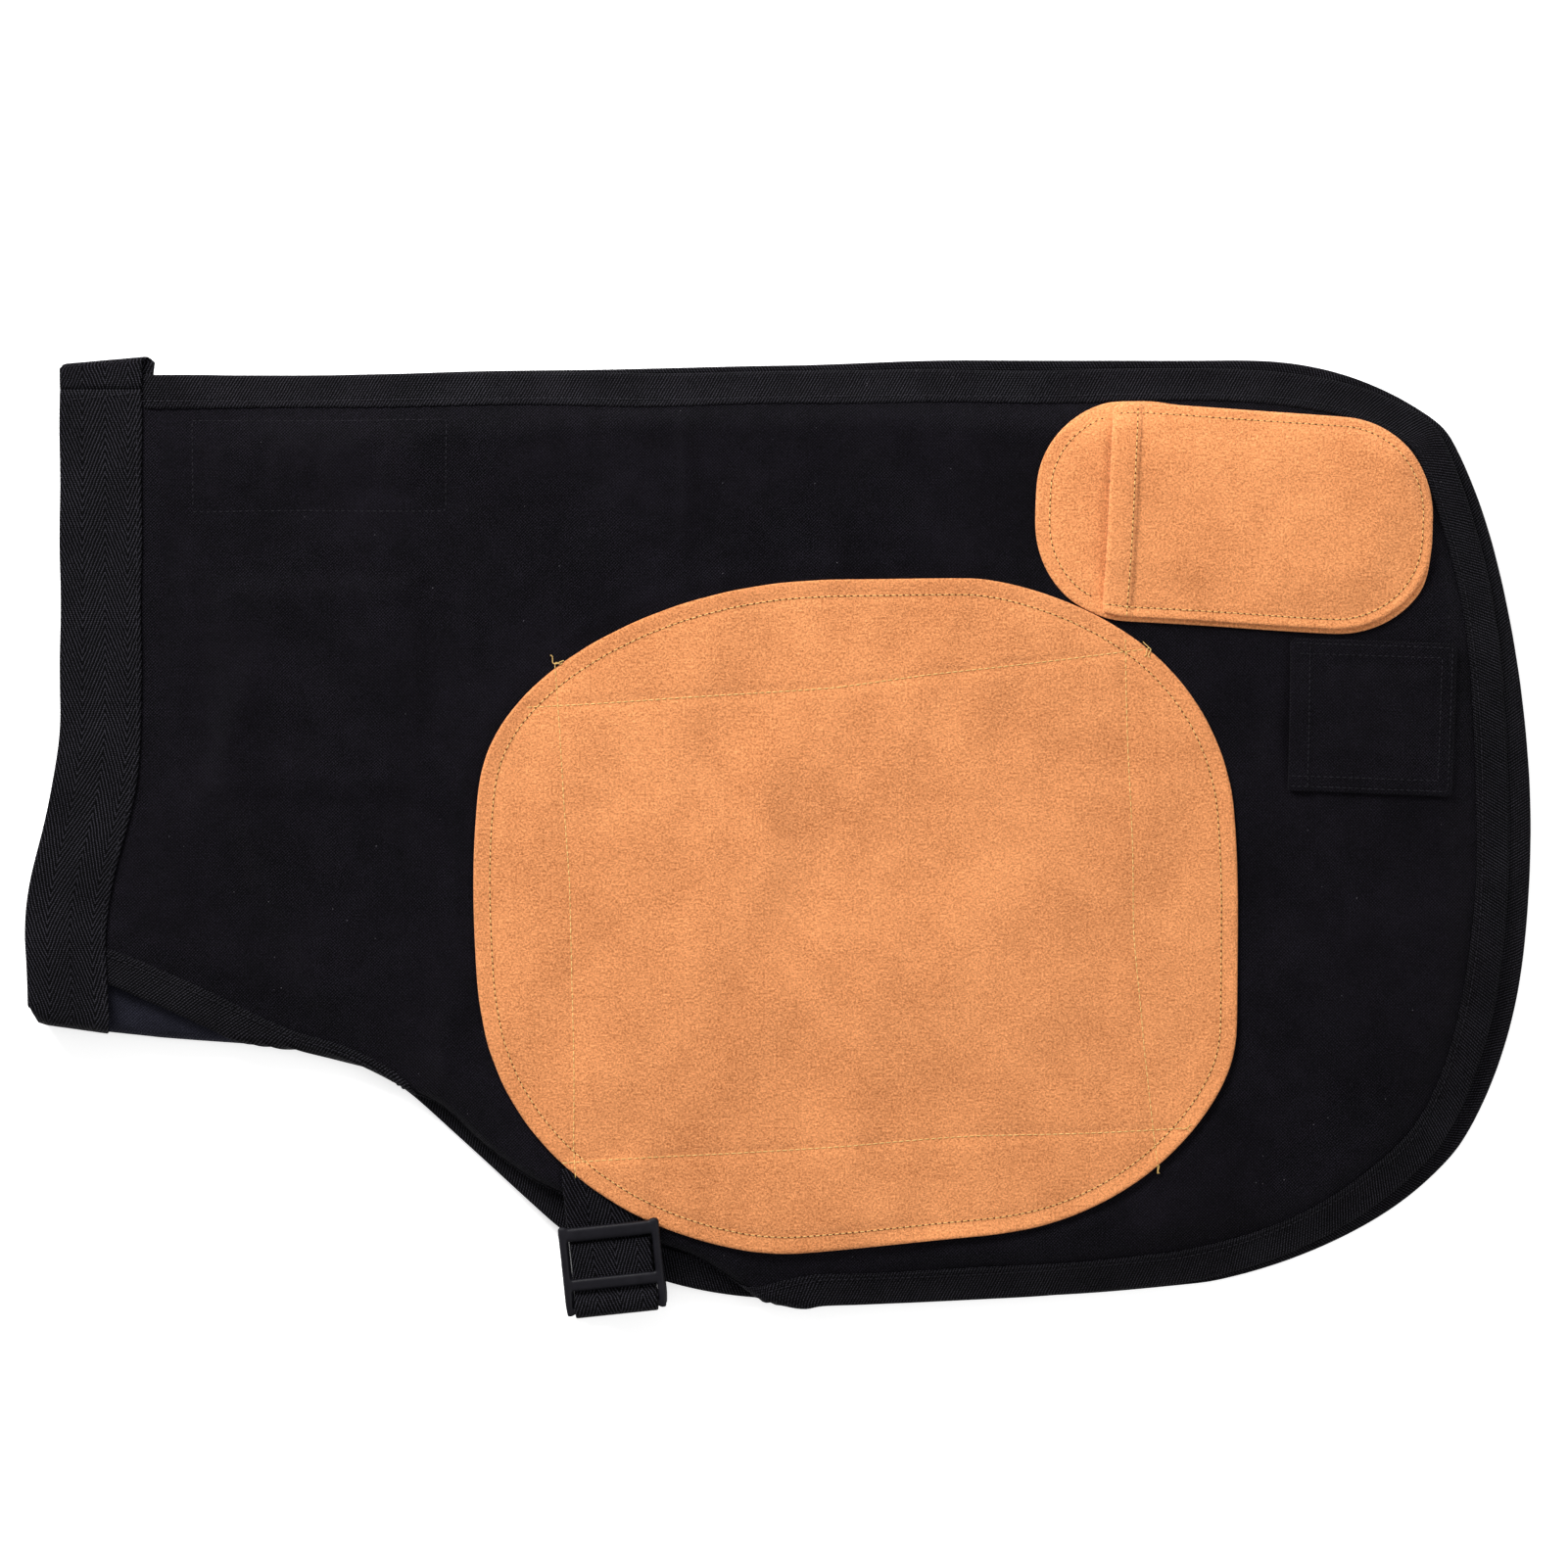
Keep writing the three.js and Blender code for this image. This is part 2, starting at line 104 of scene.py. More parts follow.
def smoothstep(t):
    t = np.clip(t, 0, 1)
    return t * t * (3 - 2 * t)


def bell(x, width):
    """A smooth bump of height 1 at 0."""
    return np.exp(-((x / width) ** 2))


def bezier(a, b, c, d, count=24):
    t = np.linspace(0, 1, count)[:, None]
    a, b, c, d = (np.array(p, float) for p in (a, b, c, d))
    return a * (1 - t) ** 3 + 3 * b * t * (1 - t) ** 2 + 3 * c * t**2 * (1 - t) + d * t**3


def run_along(line):
    """How far along a polyline each of its points lies."""
    return np.concatenate([[0], np.cumsum(np.linalg.norm(np.diff(line, axis=0), axis=1))])


def resample(points, step, closed=False):
    """The polyline again, with even spacing close to step."""
    line = np.vstack([points, points[:1]]) if closed else np.asarray(points, float)
    along = run_along(line)
    count = max(3, round(along[-1] / step))
    at = np.linspace(0, along[-1], count + 1)
    if closed:
        at = at[:-1]
    return np.stack([np.interp(at, along, line[:, k]) for k in range(line.shape[1])], axis=1)


def blurred_loop(values, sigma):
    """Values at even places round a loop, smoothed over sigma places."""
    count = len(values)
    frequency = np.fft.fftfreq(count)
    filtered = np.exp(-2 * (math.pi * frequency * sigma) ** 2)
    shape = (count,) + (1,) * (np.ndim(values) - 1)
    return np.fft.ifft(np.fft.fft(values, axis=0) * filtered.reshape(shape), axis=0).real


def area_of(loop):
    x, y = loop[:, 0], loop[:, 1]
    return 0.5 * float(np.sum(x * np.roll(y, -1) - np.roll(x, -1) * y))


def tangents(points, closed=False):
    if closed:
        along = np.roll(points, -1, axis=0) - np.roll(points, 1, axis=0)
    else:
        along = np.gradient(points, axis=0)
    return along / np.maximum(np.linalg.norm(along, axis=1, keepdims=True), 1e-9)


def inward(loop):
    along = tangents(loop, closed=True)
    return np.stack([-along[:, 1], along[:, 0]], axis=1)


def plan_outline(node, sigma=5.0):
    """The outline of a flat CAD node seen from above, counter-clockwise, with its facets smoothed."""
    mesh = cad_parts[node].data
    points = np.array([v.co for v in mesh.vertices]) / MM
    level = points[:, 2].max()
    edges = set()
    for polygon in mesh.polygons:
        corners = [points[i] for i in polygon.vertices]
        if polygon.normal.z > 0.99 and abs(corners[0][2] - level) < 0.01:
            keys = [tuple(np.round(c[:2], 2)) for c in corners]
            for a, b in zip(keys, keys[1:] + keys[:1]):
                if (b, a) in edges:
                    edges.remove((b, a))
                elif a != b:
                    edges.add((a, b))
    following = dict(sorted(edges))
    loops = []
    while following:
        start = next(iter(following))
        loop, at = [start], following.pop(start)
        while at != start and at in following:
            loop.append(at)
            at = following.pop(at)
        loops.append(np.array(loop))
    outline = max(loops, key=lambda loop: abs(area_of(loop)) if len(loop) > 2 else 0)
    if area_of(outline) < 0:
        outline = outline[::-1]
    return blurred_loop(resample(outline, 1.0, closed=True), sigma)


def hull_outline(node, sigma=1.0):
    """The outline round a convex CAD node seen from above, counter-clockwise."""
    points = np.array([v.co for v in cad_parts[node].data.vertices])[:, :2] / MM
    corners = points[convex_hull_2d([Vector(p) for p in points])]
    if area_of(corners) < 0:
        corners = corners[::-1]
    return blurred_loop(resample(corners, 1.0, closed=True), sigma)


def tree_of(points):
    tree = KDTree(len(points))
    for i, (x, y) in enumerate(points):
        tree.insert((x, y, 0), i)
    tree.balance()
    return tree


class Nearest:
    """Finds the nearest point of a closed loop, and how far inside the loop a place is."""

    def __init__(self, loop):
        self.loop, self.inward = loop, inward(loop)
        self.tree = tree_of(loop)

    def find(self, points):
        index = np.array([self.tree.find((x, y, 0))[1] for x, y in points], int)
        away = points - self.loop[index]
        depth = np.linalg.norm(away, axis=1)
        inside = (away * self.inward[index]).sum(1)
        return index, np.where(inside < 0, -depth, depth)

    def depth(self, points):
        return self.find(points)[1]


def distance_to_line(points, line):
    tree = tree_of(line)
    return np.array([tree.find((x, y, 0))[2] for x, y in points])


# ---------------------------------------------------------------- wrinkle fields

FIELD_STEP = 2.0
FIELD_LOW = np.array([-380.0, -250.0])
FIELD_SIZE = (384, 256)


def field_grid():
    x = FIELD_LOW[0] + FIELD_STEP * np.arange(FIELD_SIZE[0])
    y = FIELD_LOW[1] + FIELD_STEP * np.arange(FIELD_SIZE[1])
    return np.meshgrid(x, y, indexing="ij")


def wrinkle_field(seed, length, width, degrees):
    """Smooth random relief of unit strength, longer in one direction."""
    noise = np.random.default_rng(seed).standard_normal(FIELD_SIZE)
    u, v = np.meshgrid(*(np.fft.fftfreq(n) / FIELD_STEP for n in FIELD_SIZE), indexing="ij")
    turn = math.radians(degrees)
    along = u * math.cos(turn) + v * math.sin(turn)
    across = -u * math.sin(turn) + v * math.cos(turn)
    kept = np.exp(-2 * math.pi**2 * ((along * length) ** 2 + (across * width) ** 2))
    field = np.fft.ifft2(np.fft.fft2(noise) * kept).real
    return field / field.std()


def sample(field, points):
    """Bilinear value of a field at each (x, y)."""
    at = (points - FIELD_LOW) / FIELD_STEP
    at = np.clip(at, 0, np.array(FIELD_SIZE) - 1.001)
    i = at.astype(int)
    f = at - i
    a = field[i[:, 0], i[:, 1]] * (1 - f[:, 0]) + field[i[:, 0] + 1, i[:, 1]] * f[:, 0]
    b = field[i[:, 0], i[:, 1] + 1] * (1 - f[:, 0]) + field[i[:, 0] + 1, i[:, 1] + 1] * f[:, 0]
    return a * (1 - f[:, 1]) + b * f[:, 1]


def ridge(points, start, end, width, height):
    """A soft fold between two places."""
    start, end = np.array(start, float), np.array(end, float)
    along = (end - start) / np.linalg.norm(end - start)
    length = np.linalg.norm(end - start)
    t = (points - start) @ along
    across = (points - start) @ np.array([-along[1], along[0]])
    fade = smoothstep(t / (0.35 * length)) * smoothstep((length - t) / (0.35 * length))
    return height * fade * bell(across, 0.5 * width)


# ---------------------------------------------------------------- meshes


def make_mesh(name, vertices, faces, material, body=None, uv=None):
    """A mesh object from millimetre vertices. uv gives each vertex its place on the cloth, in mm."""
    mesh = bpy.data.meshes.new(name)
    mesh.from_pydata((np.asarray(vertices) * MM).tolist(), [], [tuple(map(int, f)) for f in faces])
    mesh.validate()
    mesh.shade_smooth()
    if uv is not None:
        layer = mesh.uv_layers.new(name="cloth")
        corner = np.zeros(len(mesh.loops), np.int32)
        mesh.loops.foreach_get("vertex_index", corner)
        layer.data.foreach_set("uv", (np.asarray(uv)[corner] * MM).astype(np.float32).ravel())
    mesh.materials.append(material)
    piece = bpy.data.objects.new(name, mesh)
    bpy.context.scene.collection.objects.link(piece)
    if body:
        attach(piece, body)
    return piece


def fill(loop, rings, spacing, extra=None):
    """Points and triangles that fill a loop: its own points, rings inside it, and a staggered grid."""
    near = Nearest(loop)
    points = [loop]
    for ring in rings:
        placed = loop + near.inward * ring
        points.append(placed[near.depth(placed) > ring - 0.12])
    innermost = max(rings, default=0) + spacing * 0.6
    low, high = loop.min(0), loop.max(0)
    rows = np.arange(low[1], high[1], spacing * 0.87)
    grid = np.array([(x + spacing / 2 * (r % 2), y) for r, y in enumerate(rows)
                     for x in np.arange(low[0], high[0], spacing)])
    grid += np.random.default_rng(5).uniform(-0.12, 0.12, grid.shape) * spacing
    grid = grid[near.depth(grid) > innermost]
    if extra is not None:
        grid = grid[distance_to_line(grid, extra) > spacing * 0.6]
        points.append(extra)
    points.append(grid)
    every = np.vstack(points)
    count = len(loop)
    edges = [(i, (i + 1) % count) for i in range(count)]
    made = delaunay_2d_cdt([Vector(p) for p in every], edges, [], 1, 1e-5)
    return np.array([tuple(v) for v in made[0]]), np.array(made[2])


def shell(name, top, bottom, triangles, material, body, uv):
    """A closed sheet from the places of its points on both faces."""
    count = len(top)
    edges = {}
    for a, b, c in triangles:
        for edge in ((a, b), (b, c), (c, a)):
            edges[edge] = True
    walls = [(b, a, a + count, b + count) for a, b in edges if (b, a) not in edges]
    faces = [tuple(t) for t in triangles] + [tuple(t[::-1] + count) for t in triangles] + walls
    flipped = np.cross(top[triangles[:, 1]] - top[triangles[:, 0]],
                       top[triangles[:, 2]] - top[triangles[:, 0]])[:, 2].sum() < 0
    if flipped != (top[:, 2].mean() < bottom[:, 2].mean()):
        faces = [f[::-1] for f in faces]
    return make_mesh(name, np.vstack([top, bottom]), faces, material, body, np.vstack([uv, uv]))


def sweep(name, rings, material, body, uv):
    """A closed mesh through rings of points, an array of (stations, points, 3)."""
    stations, around = rings.shape[:2]
    faces = []
    for i in range(stations - 1):
        for k in range(around):
            m = (k + 1) % around
            corners = ((i, k), (i, m), (i + 1, m), (i + 1, k))
            faces.append(tuple(station * around + place for station, place in corners))
    faces.append(tuple(range(around))[::-1])
    faces.append(tuple(range((stations - 1) * around, stations * around)))
    return make_mesh(name, rings.reshape(-1, 3), faces, material, body, uv.reshape(-1, 2))


def ribbon(name, path, across, body):
    """Flat webbing along a path, given the direction across it at each point."""
    across = np.broadcast_to(np.asarray(across, float), path.shape)
    across = across / np.linalg.norm(across, axis=1, keepdims=True)
    along = tangents(path)
    normal = np.cross(along, across)
    normal /= np.maximum(np.linalg.norm(normal, axis=1, keepdims=True), 1e-9)
    half, thick = STRAP_WIDTH / 2, STRAP / 2
    inner = np.linspace(-half + 0.9, half - 0.9, 9)
    selvedge = np.array([(half - 0.3, thick * 0.8), (half, 0), (half - 0.3, -thick * 0.8)])
    section = [(v, thick) for v in inner] + list(selvedge)
    section = np.array(section + [(-v, -w) for v, w in section])
    run = run_along(path)
    wave = 1 + 0.012 * np.sin(run / 9.0) + 0.008 * np.sin(run / 23.0)
    rings = (path[:, None] + across[:, None] * (section[None, :, :1] * wave[:, None, None])
             + normal[:, None] * section[None, :, 1:])
    uv = np.stack([np.broadcast_to(run[:, None], rings.shape[:2]),
                   np.broadcast_to(section[None, :, 0] + half, rings.shape[:2])], axis=2)
    return sweep(name, rings, WEBBING, body, uv)


def stitches(name, starts, ends, normals, radius, material, body):
    """Separate threads, each a small arch between two holes, as one mesh."""
    steps, around = 5, 6
    t = np.linspace(0, 1, steps)
    arch = np.sin(math.pi * t)
    girth = 0.55 + 0.45 * np.sqrt(arch.clip(0))
    run = ends - starts
    side = np.cross(normals, run)
    side /= np.maximum(np.linalg.norm(side, axis=1, keepdims=True), 1e-9)
    turn = 2 * math.pi * np.arange(around) / around
    centre = starts[:, None] + run[:, None] * t[None, :, None]
    centre = centre + normals[:, None] * (radius * (1.3 * arch - 0.75))[None, :, None]
    ring = (side[:, None, None] * np.cos(turn)[None, None, :, None]
            + normals[:, None, None] * np.sin(turn)[None, None, :, None])
    vertices = centre[:, :, None] + ring * (radius * girth)[None, :, None, None]
    faces = []
    for n in range(len(starts)):
        base = n * steps * around
        for i in range(steps - 1):
            for k in range(around):
                m = (k + 1) % around
                faces.append((base + i * around + k, base + i * around + m,
                              base + (i + 1) * around + m, base + (i + 1) * around + k))
        faces.append(tuple(base + k for k in range(around))[::-1])
        faces.append(tuple(base + (steps - 1) * around + k for k in range(around)))
    return make_mesh(name, vertices.reshape(-1, 3), faces, material, body)


# ---------------------------------------------------------------- materials


class Graph:
    """A procedural material: a Principled shader and short helpers for the nodes that feed it."""

    def __init__(self, name, roughness=0.8, specular=0.3, sheen=0.0, metallic=0.0):
        self.material = bpy.data.materials.new(name)
        self.material.use_nodes = True
        self.tree = self.material.node_tree
        self.shader = self.tree.nodes["Principled BSDF"]
        settings = {"Roughness": roughness, "Specular IOR Level": specular, "Metallic": metallic,
                    "Sheen Weight": sheen, "Sheen Roughness": 0.6}
        for name, value in settings.items():
            self.shader.inputs[name].default_value = value

    def node(self, kind, **settings):
        made = self.tree.nodes.new(kind)
        for key, value in settings.items():
            setattr(made, key, value)
        return made

    def give(self, socket, value):
        if isinstance(value, bpy.types.NodeSocket):
            self.tree.links.new(value, socket)
        else:
            socket.default_value = value

    def math(self, operation, *values):
        made = self.node("ShaderNodeMath", operation=operation)
        for socket, value in zip(made.inputs, values):
            self.give(socket, value)
        return made.outputs[0]

    def add(self, *values):
        total = values[0]
        for value in values[1:]:
            total = self.math("ADD", total, value)
        return total

    def times(self, a, b):
        return self.math("MULTIPLY", a, b)

    def in_mm(self, vector):
        made = self.node("ShaderNodeVectorMath", operation="SCALE")
        self.give(made.inputs[0], vector)
        made.inputs["Scale"].default_value = 1 / MM
        return made.outputs[0]

    def cloth(self):
        """Place on the cloth in mm, from the mesh's own flat layout."""
        return self.in_mm(self.node("ShaderNodeUVMap", uv_map="cloth").outputs[0])

    def object_place(self):
        return self.in_mm(self.node("ShaderNodeTexCoord").outputs["Object"])

    def axes(self, vector):
        made = self.node("ShaderNodeSeparateXYZ")
        self.give(made.inputs[0], vector)
        return made.outputs[0], made.outputs[1]

    def noise(self, vector, size, detail=2.0, rough=0.5, stretch=(1, 1, 1)):
        """Noise about the middle value 0, with features of about that size in mm."""
        mapping = self.node("ShaderNodeMapping")
        self.give(mapping.inputs["Vector"], vector)
        mapping.inputs["Scale"].default_value = [s / size for s in stretch]
        made = self.node("ShaderNodeTexNoise")
        self.give(made.inputs["Vector"], mapping.outputs[0])
        made.inputs["Scale"].default_value = 1.0
        made.inputs["Detail"].default_value = detail
        made.inputs["Roughness"].default_value = rough
        return self.math("SUBTRACT", made.outputs[0], 0.5)

    def blend(self, factor, low, high):
        return self.blend_over(factor, (*low, 1), high)

    def blend_over(self, factor, under, colour):
        made = self.node("ShaderNodeMix", data_type="RGBA")
        first, second = [i for i in made.inputs if i.type == "RGBA"]
        self.give(made.inputs[0], factor)
        self.give(first, under)
        self.give(second, (*colour, 1))
        return next(o for o in made.outputs if o.type == "RGBA")

    def clamp(self, value):
        made = self.node("ShaderNodeClamp")
        self.give(made.inputs[0], value)
        return made.outputs[0]

    def colour(self, socket):
        self.give(self.shader.inputs["Base Color"], socket)

    def roughness(self, base, variation):
        self.give(self.shader.inputs["Roughness"], self.clamp(self.add(variation, base)))

    def bump(self, height, depth_mm, strength=1.0):
        made = self.node("ShaderNodeBump")
        made.inputs["Strength"].default_value = strength
        made.inputs["Distance"].default_value = depth_mm * MM
        self.give(made.inputs["Height"], height)
        self.give(self.shader.inputs["Normal"], made.outputs[0])

    def linted(self, place, level, dark, light, lint, size, share, strength):
        """Colours cloth from dark to light by level, under rare small spots of lint."""
        cloth = self.blend(self.clamp(level), dark, light)
        specks = self.times(self.specks(place, size, share), strength)
        self.colour(self.blend_over(specks, cloth, lint))

    def specks(self, place, size, share):
        """1 on the spots, 0 elsewhere."""
        made = self.node("ShaderNodeTexVoronoi", feature="F1")
        self.give(made.inputs["Vector"], place)
        made.inputs["Scale"].default_value = 1 / size
        near = self.math("LESS_THAN", made.outputs["Distance"], 0.07)
        channel = self.node("ShaderNodeSeparateColor")
        self.give(channel.inputs[0], made.outputs["Color"])
        return self.times(near, self.math("LESS_THAN", channel.outputs[0], share))


def canvas_material(name, dark, light):
    """Plain-woven cotton duck, faded a little unevenly, with a few specks of lint."""
    graph = Graph(name, roughness=0.85, specular=0.035, sheen=0.02)
    place = graph.cloth()
    x, y = graph.axes(place)
    thread = 2 * math.pi / 1.5
    slub = graph.times(graph.noise(place, 6.0, 3.0, stretch=(1, 5, 1)), 0.5)
    weave = graph.times(graph.math("SINE", graph.times(graph.add(x, slub), thread)),
                        graph.math("SINE", graph.times(graph.add(y, slub), thread)))
    grain = graph.noise(place, 0.7, 2.0, 0.7)
    fade = graph.noise(place, 45.0, 3.0)
    patchy = graph.noise(place, 9.0, 4.0, 0.65)
    level = graph.add(graph.times(weave, 0.48), graph.times(grain, 2.5), graph.times(fade, 0.6),
                      graph.times(patchy, 0.5), 0.15)
    graph.linted(place, level, dark, light, (0.16, 0.15, 0.17), 3.3, 0.035, 0.6)
    graph.roughness(0.9, graph.times(patchy, 0.2))
    graph.bump(graph.add(graph.times(weave, 0.6), graph.times(grain, 1.2)), 0.5)
    return graph.material


def ribbed_colour(graph, place, rib, cross, grain, fade, dark, light):
    # The rib and cross waves paint highlight on the ribs' crests and shade in their grooves; grain, fade and
    # lint are the yarn's own tone.
    level = graph.add(graph.times(rib, 0.56), graph.times(cross, 0.18), graph.times(grain, 2.3),
                      graph.times(fade, 0.5), -0.06)
    graph.linted(place, level, dark, light, (0.14, 0.13, 0.15), 2.9, 0.012, 0.5)


def herringbone_material(name, dark, light, column, pitch, steep):
    """Webbing with ribs that change direction from one column to the next."""
    graph = Graph(name, roughness=0.55, specular=0.06)
    place = graph.cloth()
    along, across = graph.axes(place)
    jitter = graph.times(graph.noise(place, 4.0, 3.0), 0.9)
    zigzag = graph.math("PINGPONG", across, column)
    angle = math.radians(steep)
    phase = graph.add(graph.times(zigzag, math.sin(angle)), graph.times(along, -math.cos(angle)), jitter)
    rib = graph.math("SINE", graph.times(phase, 2 * math.pi / pitch))
    cross = graph.math("SINE", graph.times(along, 2 * math.pi / 0.9))
    grain = graph.noise(place, 0.6, 2.0, 0.7)
    edge = graph.math("ABSOLUTE", graph.math("SUBTRACT", zigzag, column / 2))
    channel = graph.math("GREATER_THAN", edge, column / 2 - 0.35)
    fade = graph.noise(place, 30.0, 3.0)
    height = graph.add(graph.times(rib, 0.5), graph.times(cross, 0.16), graph.times(grain, 0.7),
                       graph.times(channel, -0.12))
    ribbed_colour(graph, place, rib, cross, grain, fade, dark, light)
    graph.roughness(0.72, graph.times(grain, 0.25))
    graph.bump(height, 0.45)
    return graph.material


def tape_material(name, dark, light):
    """Binding tape: fine slanting ribs across the tape, worn pale in places along the folded edge."""
    graph = Graph(name, roughness=0.55, specular=0.06)
    place = graph.cloth()
    along, across = graph.axes(place)
    jitter = graph.times(graph.noise(place, 5.0, 3.0), 0.9)
    slant = graph.add(along, graph.times(across, 0.55), jitter)
    rib = graph.math("SINE", graph.times(slant, 2 * math.pi / 1.45))
    grain = graph.noise(place, 0.6, 2.0, 0.7)
    cross = graph.math("SINE", graph.times(across, 2 * math.pi / 1.1))
    fade = graph.noise(place, 26.0, 3.0)
    height = graph.add(graph.times(rib, 0.45), graph.times(cross, 0.25), graph.times(grain, 0.6))
    ribbed_colour(graph, place, rib, cross, grain, fade, dark, light)
    graph.roughness(0.75, graph.times(grain, 0.25))
    graph.bump(height, 0.4)
    return graph.material


def suede_material(name, shade=1.0):
    """Split cowhide: short nap brushed in patches, pores, and faint stains from handling."""
    graph = Graph(name, roughness=0.95, specular=0.12, sheen=0.25)
    graph.shader.inputs["Sheen Tint"].default_value = (1.0, 0.72, 0.5, 1)
    place = graph.cloth()
    nap = graph.noise(place, 1.0, 3.0, 0.75)
    brushed = graph.noise(place, 3.2, 3.0, 0.6, stretch=(1, 1.15, 1))
    mottle = graph.noise(place, 16.0, 4.0, 0.6)
    stain = graph.noise(place, 70.0, 3.0, 0.55)
    level = graph.add(graph.times(nap, 2.6), graph.times(brushed, 0.5), graph.times(mottle, 0.35),
                      graph.times(stain, 0.6), 0.5)
    low = [v * shade for v in (0.36, 0.110, 0.030)]
    high = [v * shade for v in (0.97, 0.395, 0.150)]
    hide = graph.blend(graph.clamp(level), low, high)
    pores = graph.math("GREATER_THAN", graph.noise(place, 0.9, 1.0), 0.2)
    graph.colour(graph.blend_over(graph.times(pores, 0.25), hide, [v * 0.75 for v in low]))
    graph.roughness(0.93, graph.times(nap, 0.2))
    graph.bump(graph.add(nap, graph.times(brushed, 0.7)), 0.6)
    return graph.material


def thread_material(name, dark, light):
    graph = Graph(name, roughness=0.6, specular=0.1)
    place = graph.object_place()
    grain = graph.noise(place, 0.35, 2.0, 0.6)
    tone = graph.noise(place, 9.0, 2.0)
    graph.colour(graph.blend(graph.clamp(graph.add(grain, tone, 0.5)), dark, light))
    graph.bump(grain, 0.12)
    return graph.material


def plastic_material():
    """Moulded acetal: satin, faintly pitted, and rubbed lighter in places."""
    graph = Graph("black_plastic_moulded", roughness=0.5, specular=0.15)
    place = graph.object_place()
    pits = graph.noise(place, 0.5, 3.0, 0.7)
    rub = graph.noise(place, 7.0, 4.0, 0.65)
    graph.colour(graph.blend(graph.clamp(graph.add(graph.times(pits, 0.5), rub, 0.45)),
                             (0.003, 0.0028, 0.0042), (0.010, 0.0092, 0.0135)))
    graph.roughness(0.5, graph.times(rub, 0.4))
    graph.bump(pits, 0.05)
    return graph.material


def metal_material():
    graph = Graph("magnet_nickel", roughness=0.3, specular=0.5, metallic=1.0)
    place = graph.object_place()
    scratch = graph.noise(place, 1.5, 4.0, 0.7, stretch=(6, 1, 1))
    graph.colour(graph.blend(graph.clamp(graph.add(scratch, 0.5)), (0.42, 0.42, 0.43), (0.66, 0.66, 0.66)))
    graph.roughness(0.3, graph.times(scratch, 0.5))
    graph.bump(scratch, 0.03)
    return graph.material


CANVAS = canvas_material("canvas", (0.0003, 0.0002, 0.0008), (0.0185, 0.0155, 0.0235))
POCKET_CANVAS = canvas_material("pocket_canvas", (0.0004, 0.0003, 0.0009), (0.0200, 0.0170, 0.0250))
# A lighter, bluer copy of the canvas: painted sheen where the lower leg's canvas rolls round the fold.
FOLD_CANVAS_PAINTED_SHEEN = canvas_material("fold_canvas_painted_sheen", (0.0090, 0.0090, 0.0150), (0.0330, 0.0330, 0.0500))
RIB_SHADOW = (0.0003, 0.0002, 0.0006)
WEBBING = herringbone_material("webbing", RIB_SHADOW, (0.0435, 0.0410, 0.0525), 10.5, 1.45, 68)
TAPE_CLOTH = tape_material("binding_tape", RIB_SHADOW, (0.0405, 0.0380, 0.0480))
SUEDE_PATCH = suede_material("suede_patch", 0.97)
SUEDE_POCKET = suede_material("suede_pocket", 1.05)
CREAM = thread_material("cream_thread_twist", (0.55, 0.33, 0.10), (0.92, 0.66, 0.27))
BLACK_THREAD = thread_material("black_thread_twist", (0.004, 0.004, 0.005), (0.024, 0.022, 0.028))
# Dark leather colour for the needle holes: painted shade inside the holes.
NEEDLE_HOLE_SHADE = thread_material("needle_hole_painted_shade", (0.060, 0.020, 0.007), (0.16, 0.055, 0.018))
PLASTIC = plastic_material()
METAL = metal_material()

# ---------------------------------------------------------------- one leg as a draped surface

# Along the inner edge of the upper leg, by place along X: how far its flat edge lies inside the
# CAD outline, and how wide a strip of it is rolled under (negative where none is).
ROLLED_EDGE = np.array([
    (-345, 12.5, -9), (-314, 12.5, -9), (-280, 5.5, -9), (-262, 1.5, -4), (-244, -3, 2.5), (-226, -7.5, 7.2),
    (-203, -9, 9), (-180, -11, 11.5), (-169, -14, 15.5), (-160, -10, 16), (-146, -11, 16),
    (-135, -10, 16), (-118, -7, 16), (-102, 0, 16), (-80, 1, 16), (-44, 0, 16), (-29, -7, 16),
    (-18, -9.5, 14.5), (-7, -9, 9), (2, -4.5, 4.5), (17, 0, -4), (40, 0, -9), (345, 0, -9),
], float)
LOCK_PLACE = np.array([-75.7, -217.5])  # middle of each leg buckle's anchor bar
LOCK_TILT = 6.0
LOCK_IN = np.array([-math.sin(math.radians(LOCK_TILT)), math.cos(math.radians(LOCK_TILT))])
LOCK_ACROSS = np.array([math.cos(math.radians(LOCK_TILT)), math.sin(math.radians(LOCK_TILT))])

# The upper leg's longer creases: where each starts and ends, its width and its height.
CREASES = [
    ((-262, 40), (-200, -96), 17, 2.1),
    ((-240, 95), (-262, 20), 13, 1.1),
    ((-232, 60), (-186, 20), 14, -1.0),
    ((-170, 130), (-166, -30), 9, 1.0),
    ((-44, 206), (-42, 128), 7, 1.5),
    ((30, 186), (68, 122), 15, 1.7),
    ((48, 196), (92, 128), 15, -1.0),
    ((-8, 60), (-3, -40), 20, 1.2),
    ((-300, -52), (-196, -92), 12, -0.9),
    ((-150, -60), (-158, -120), 11, 1.2),
    ((228, -30), (262, -120), 18, 1.1),
    ((222, 10), (236, 84), 10, 0.9),
]


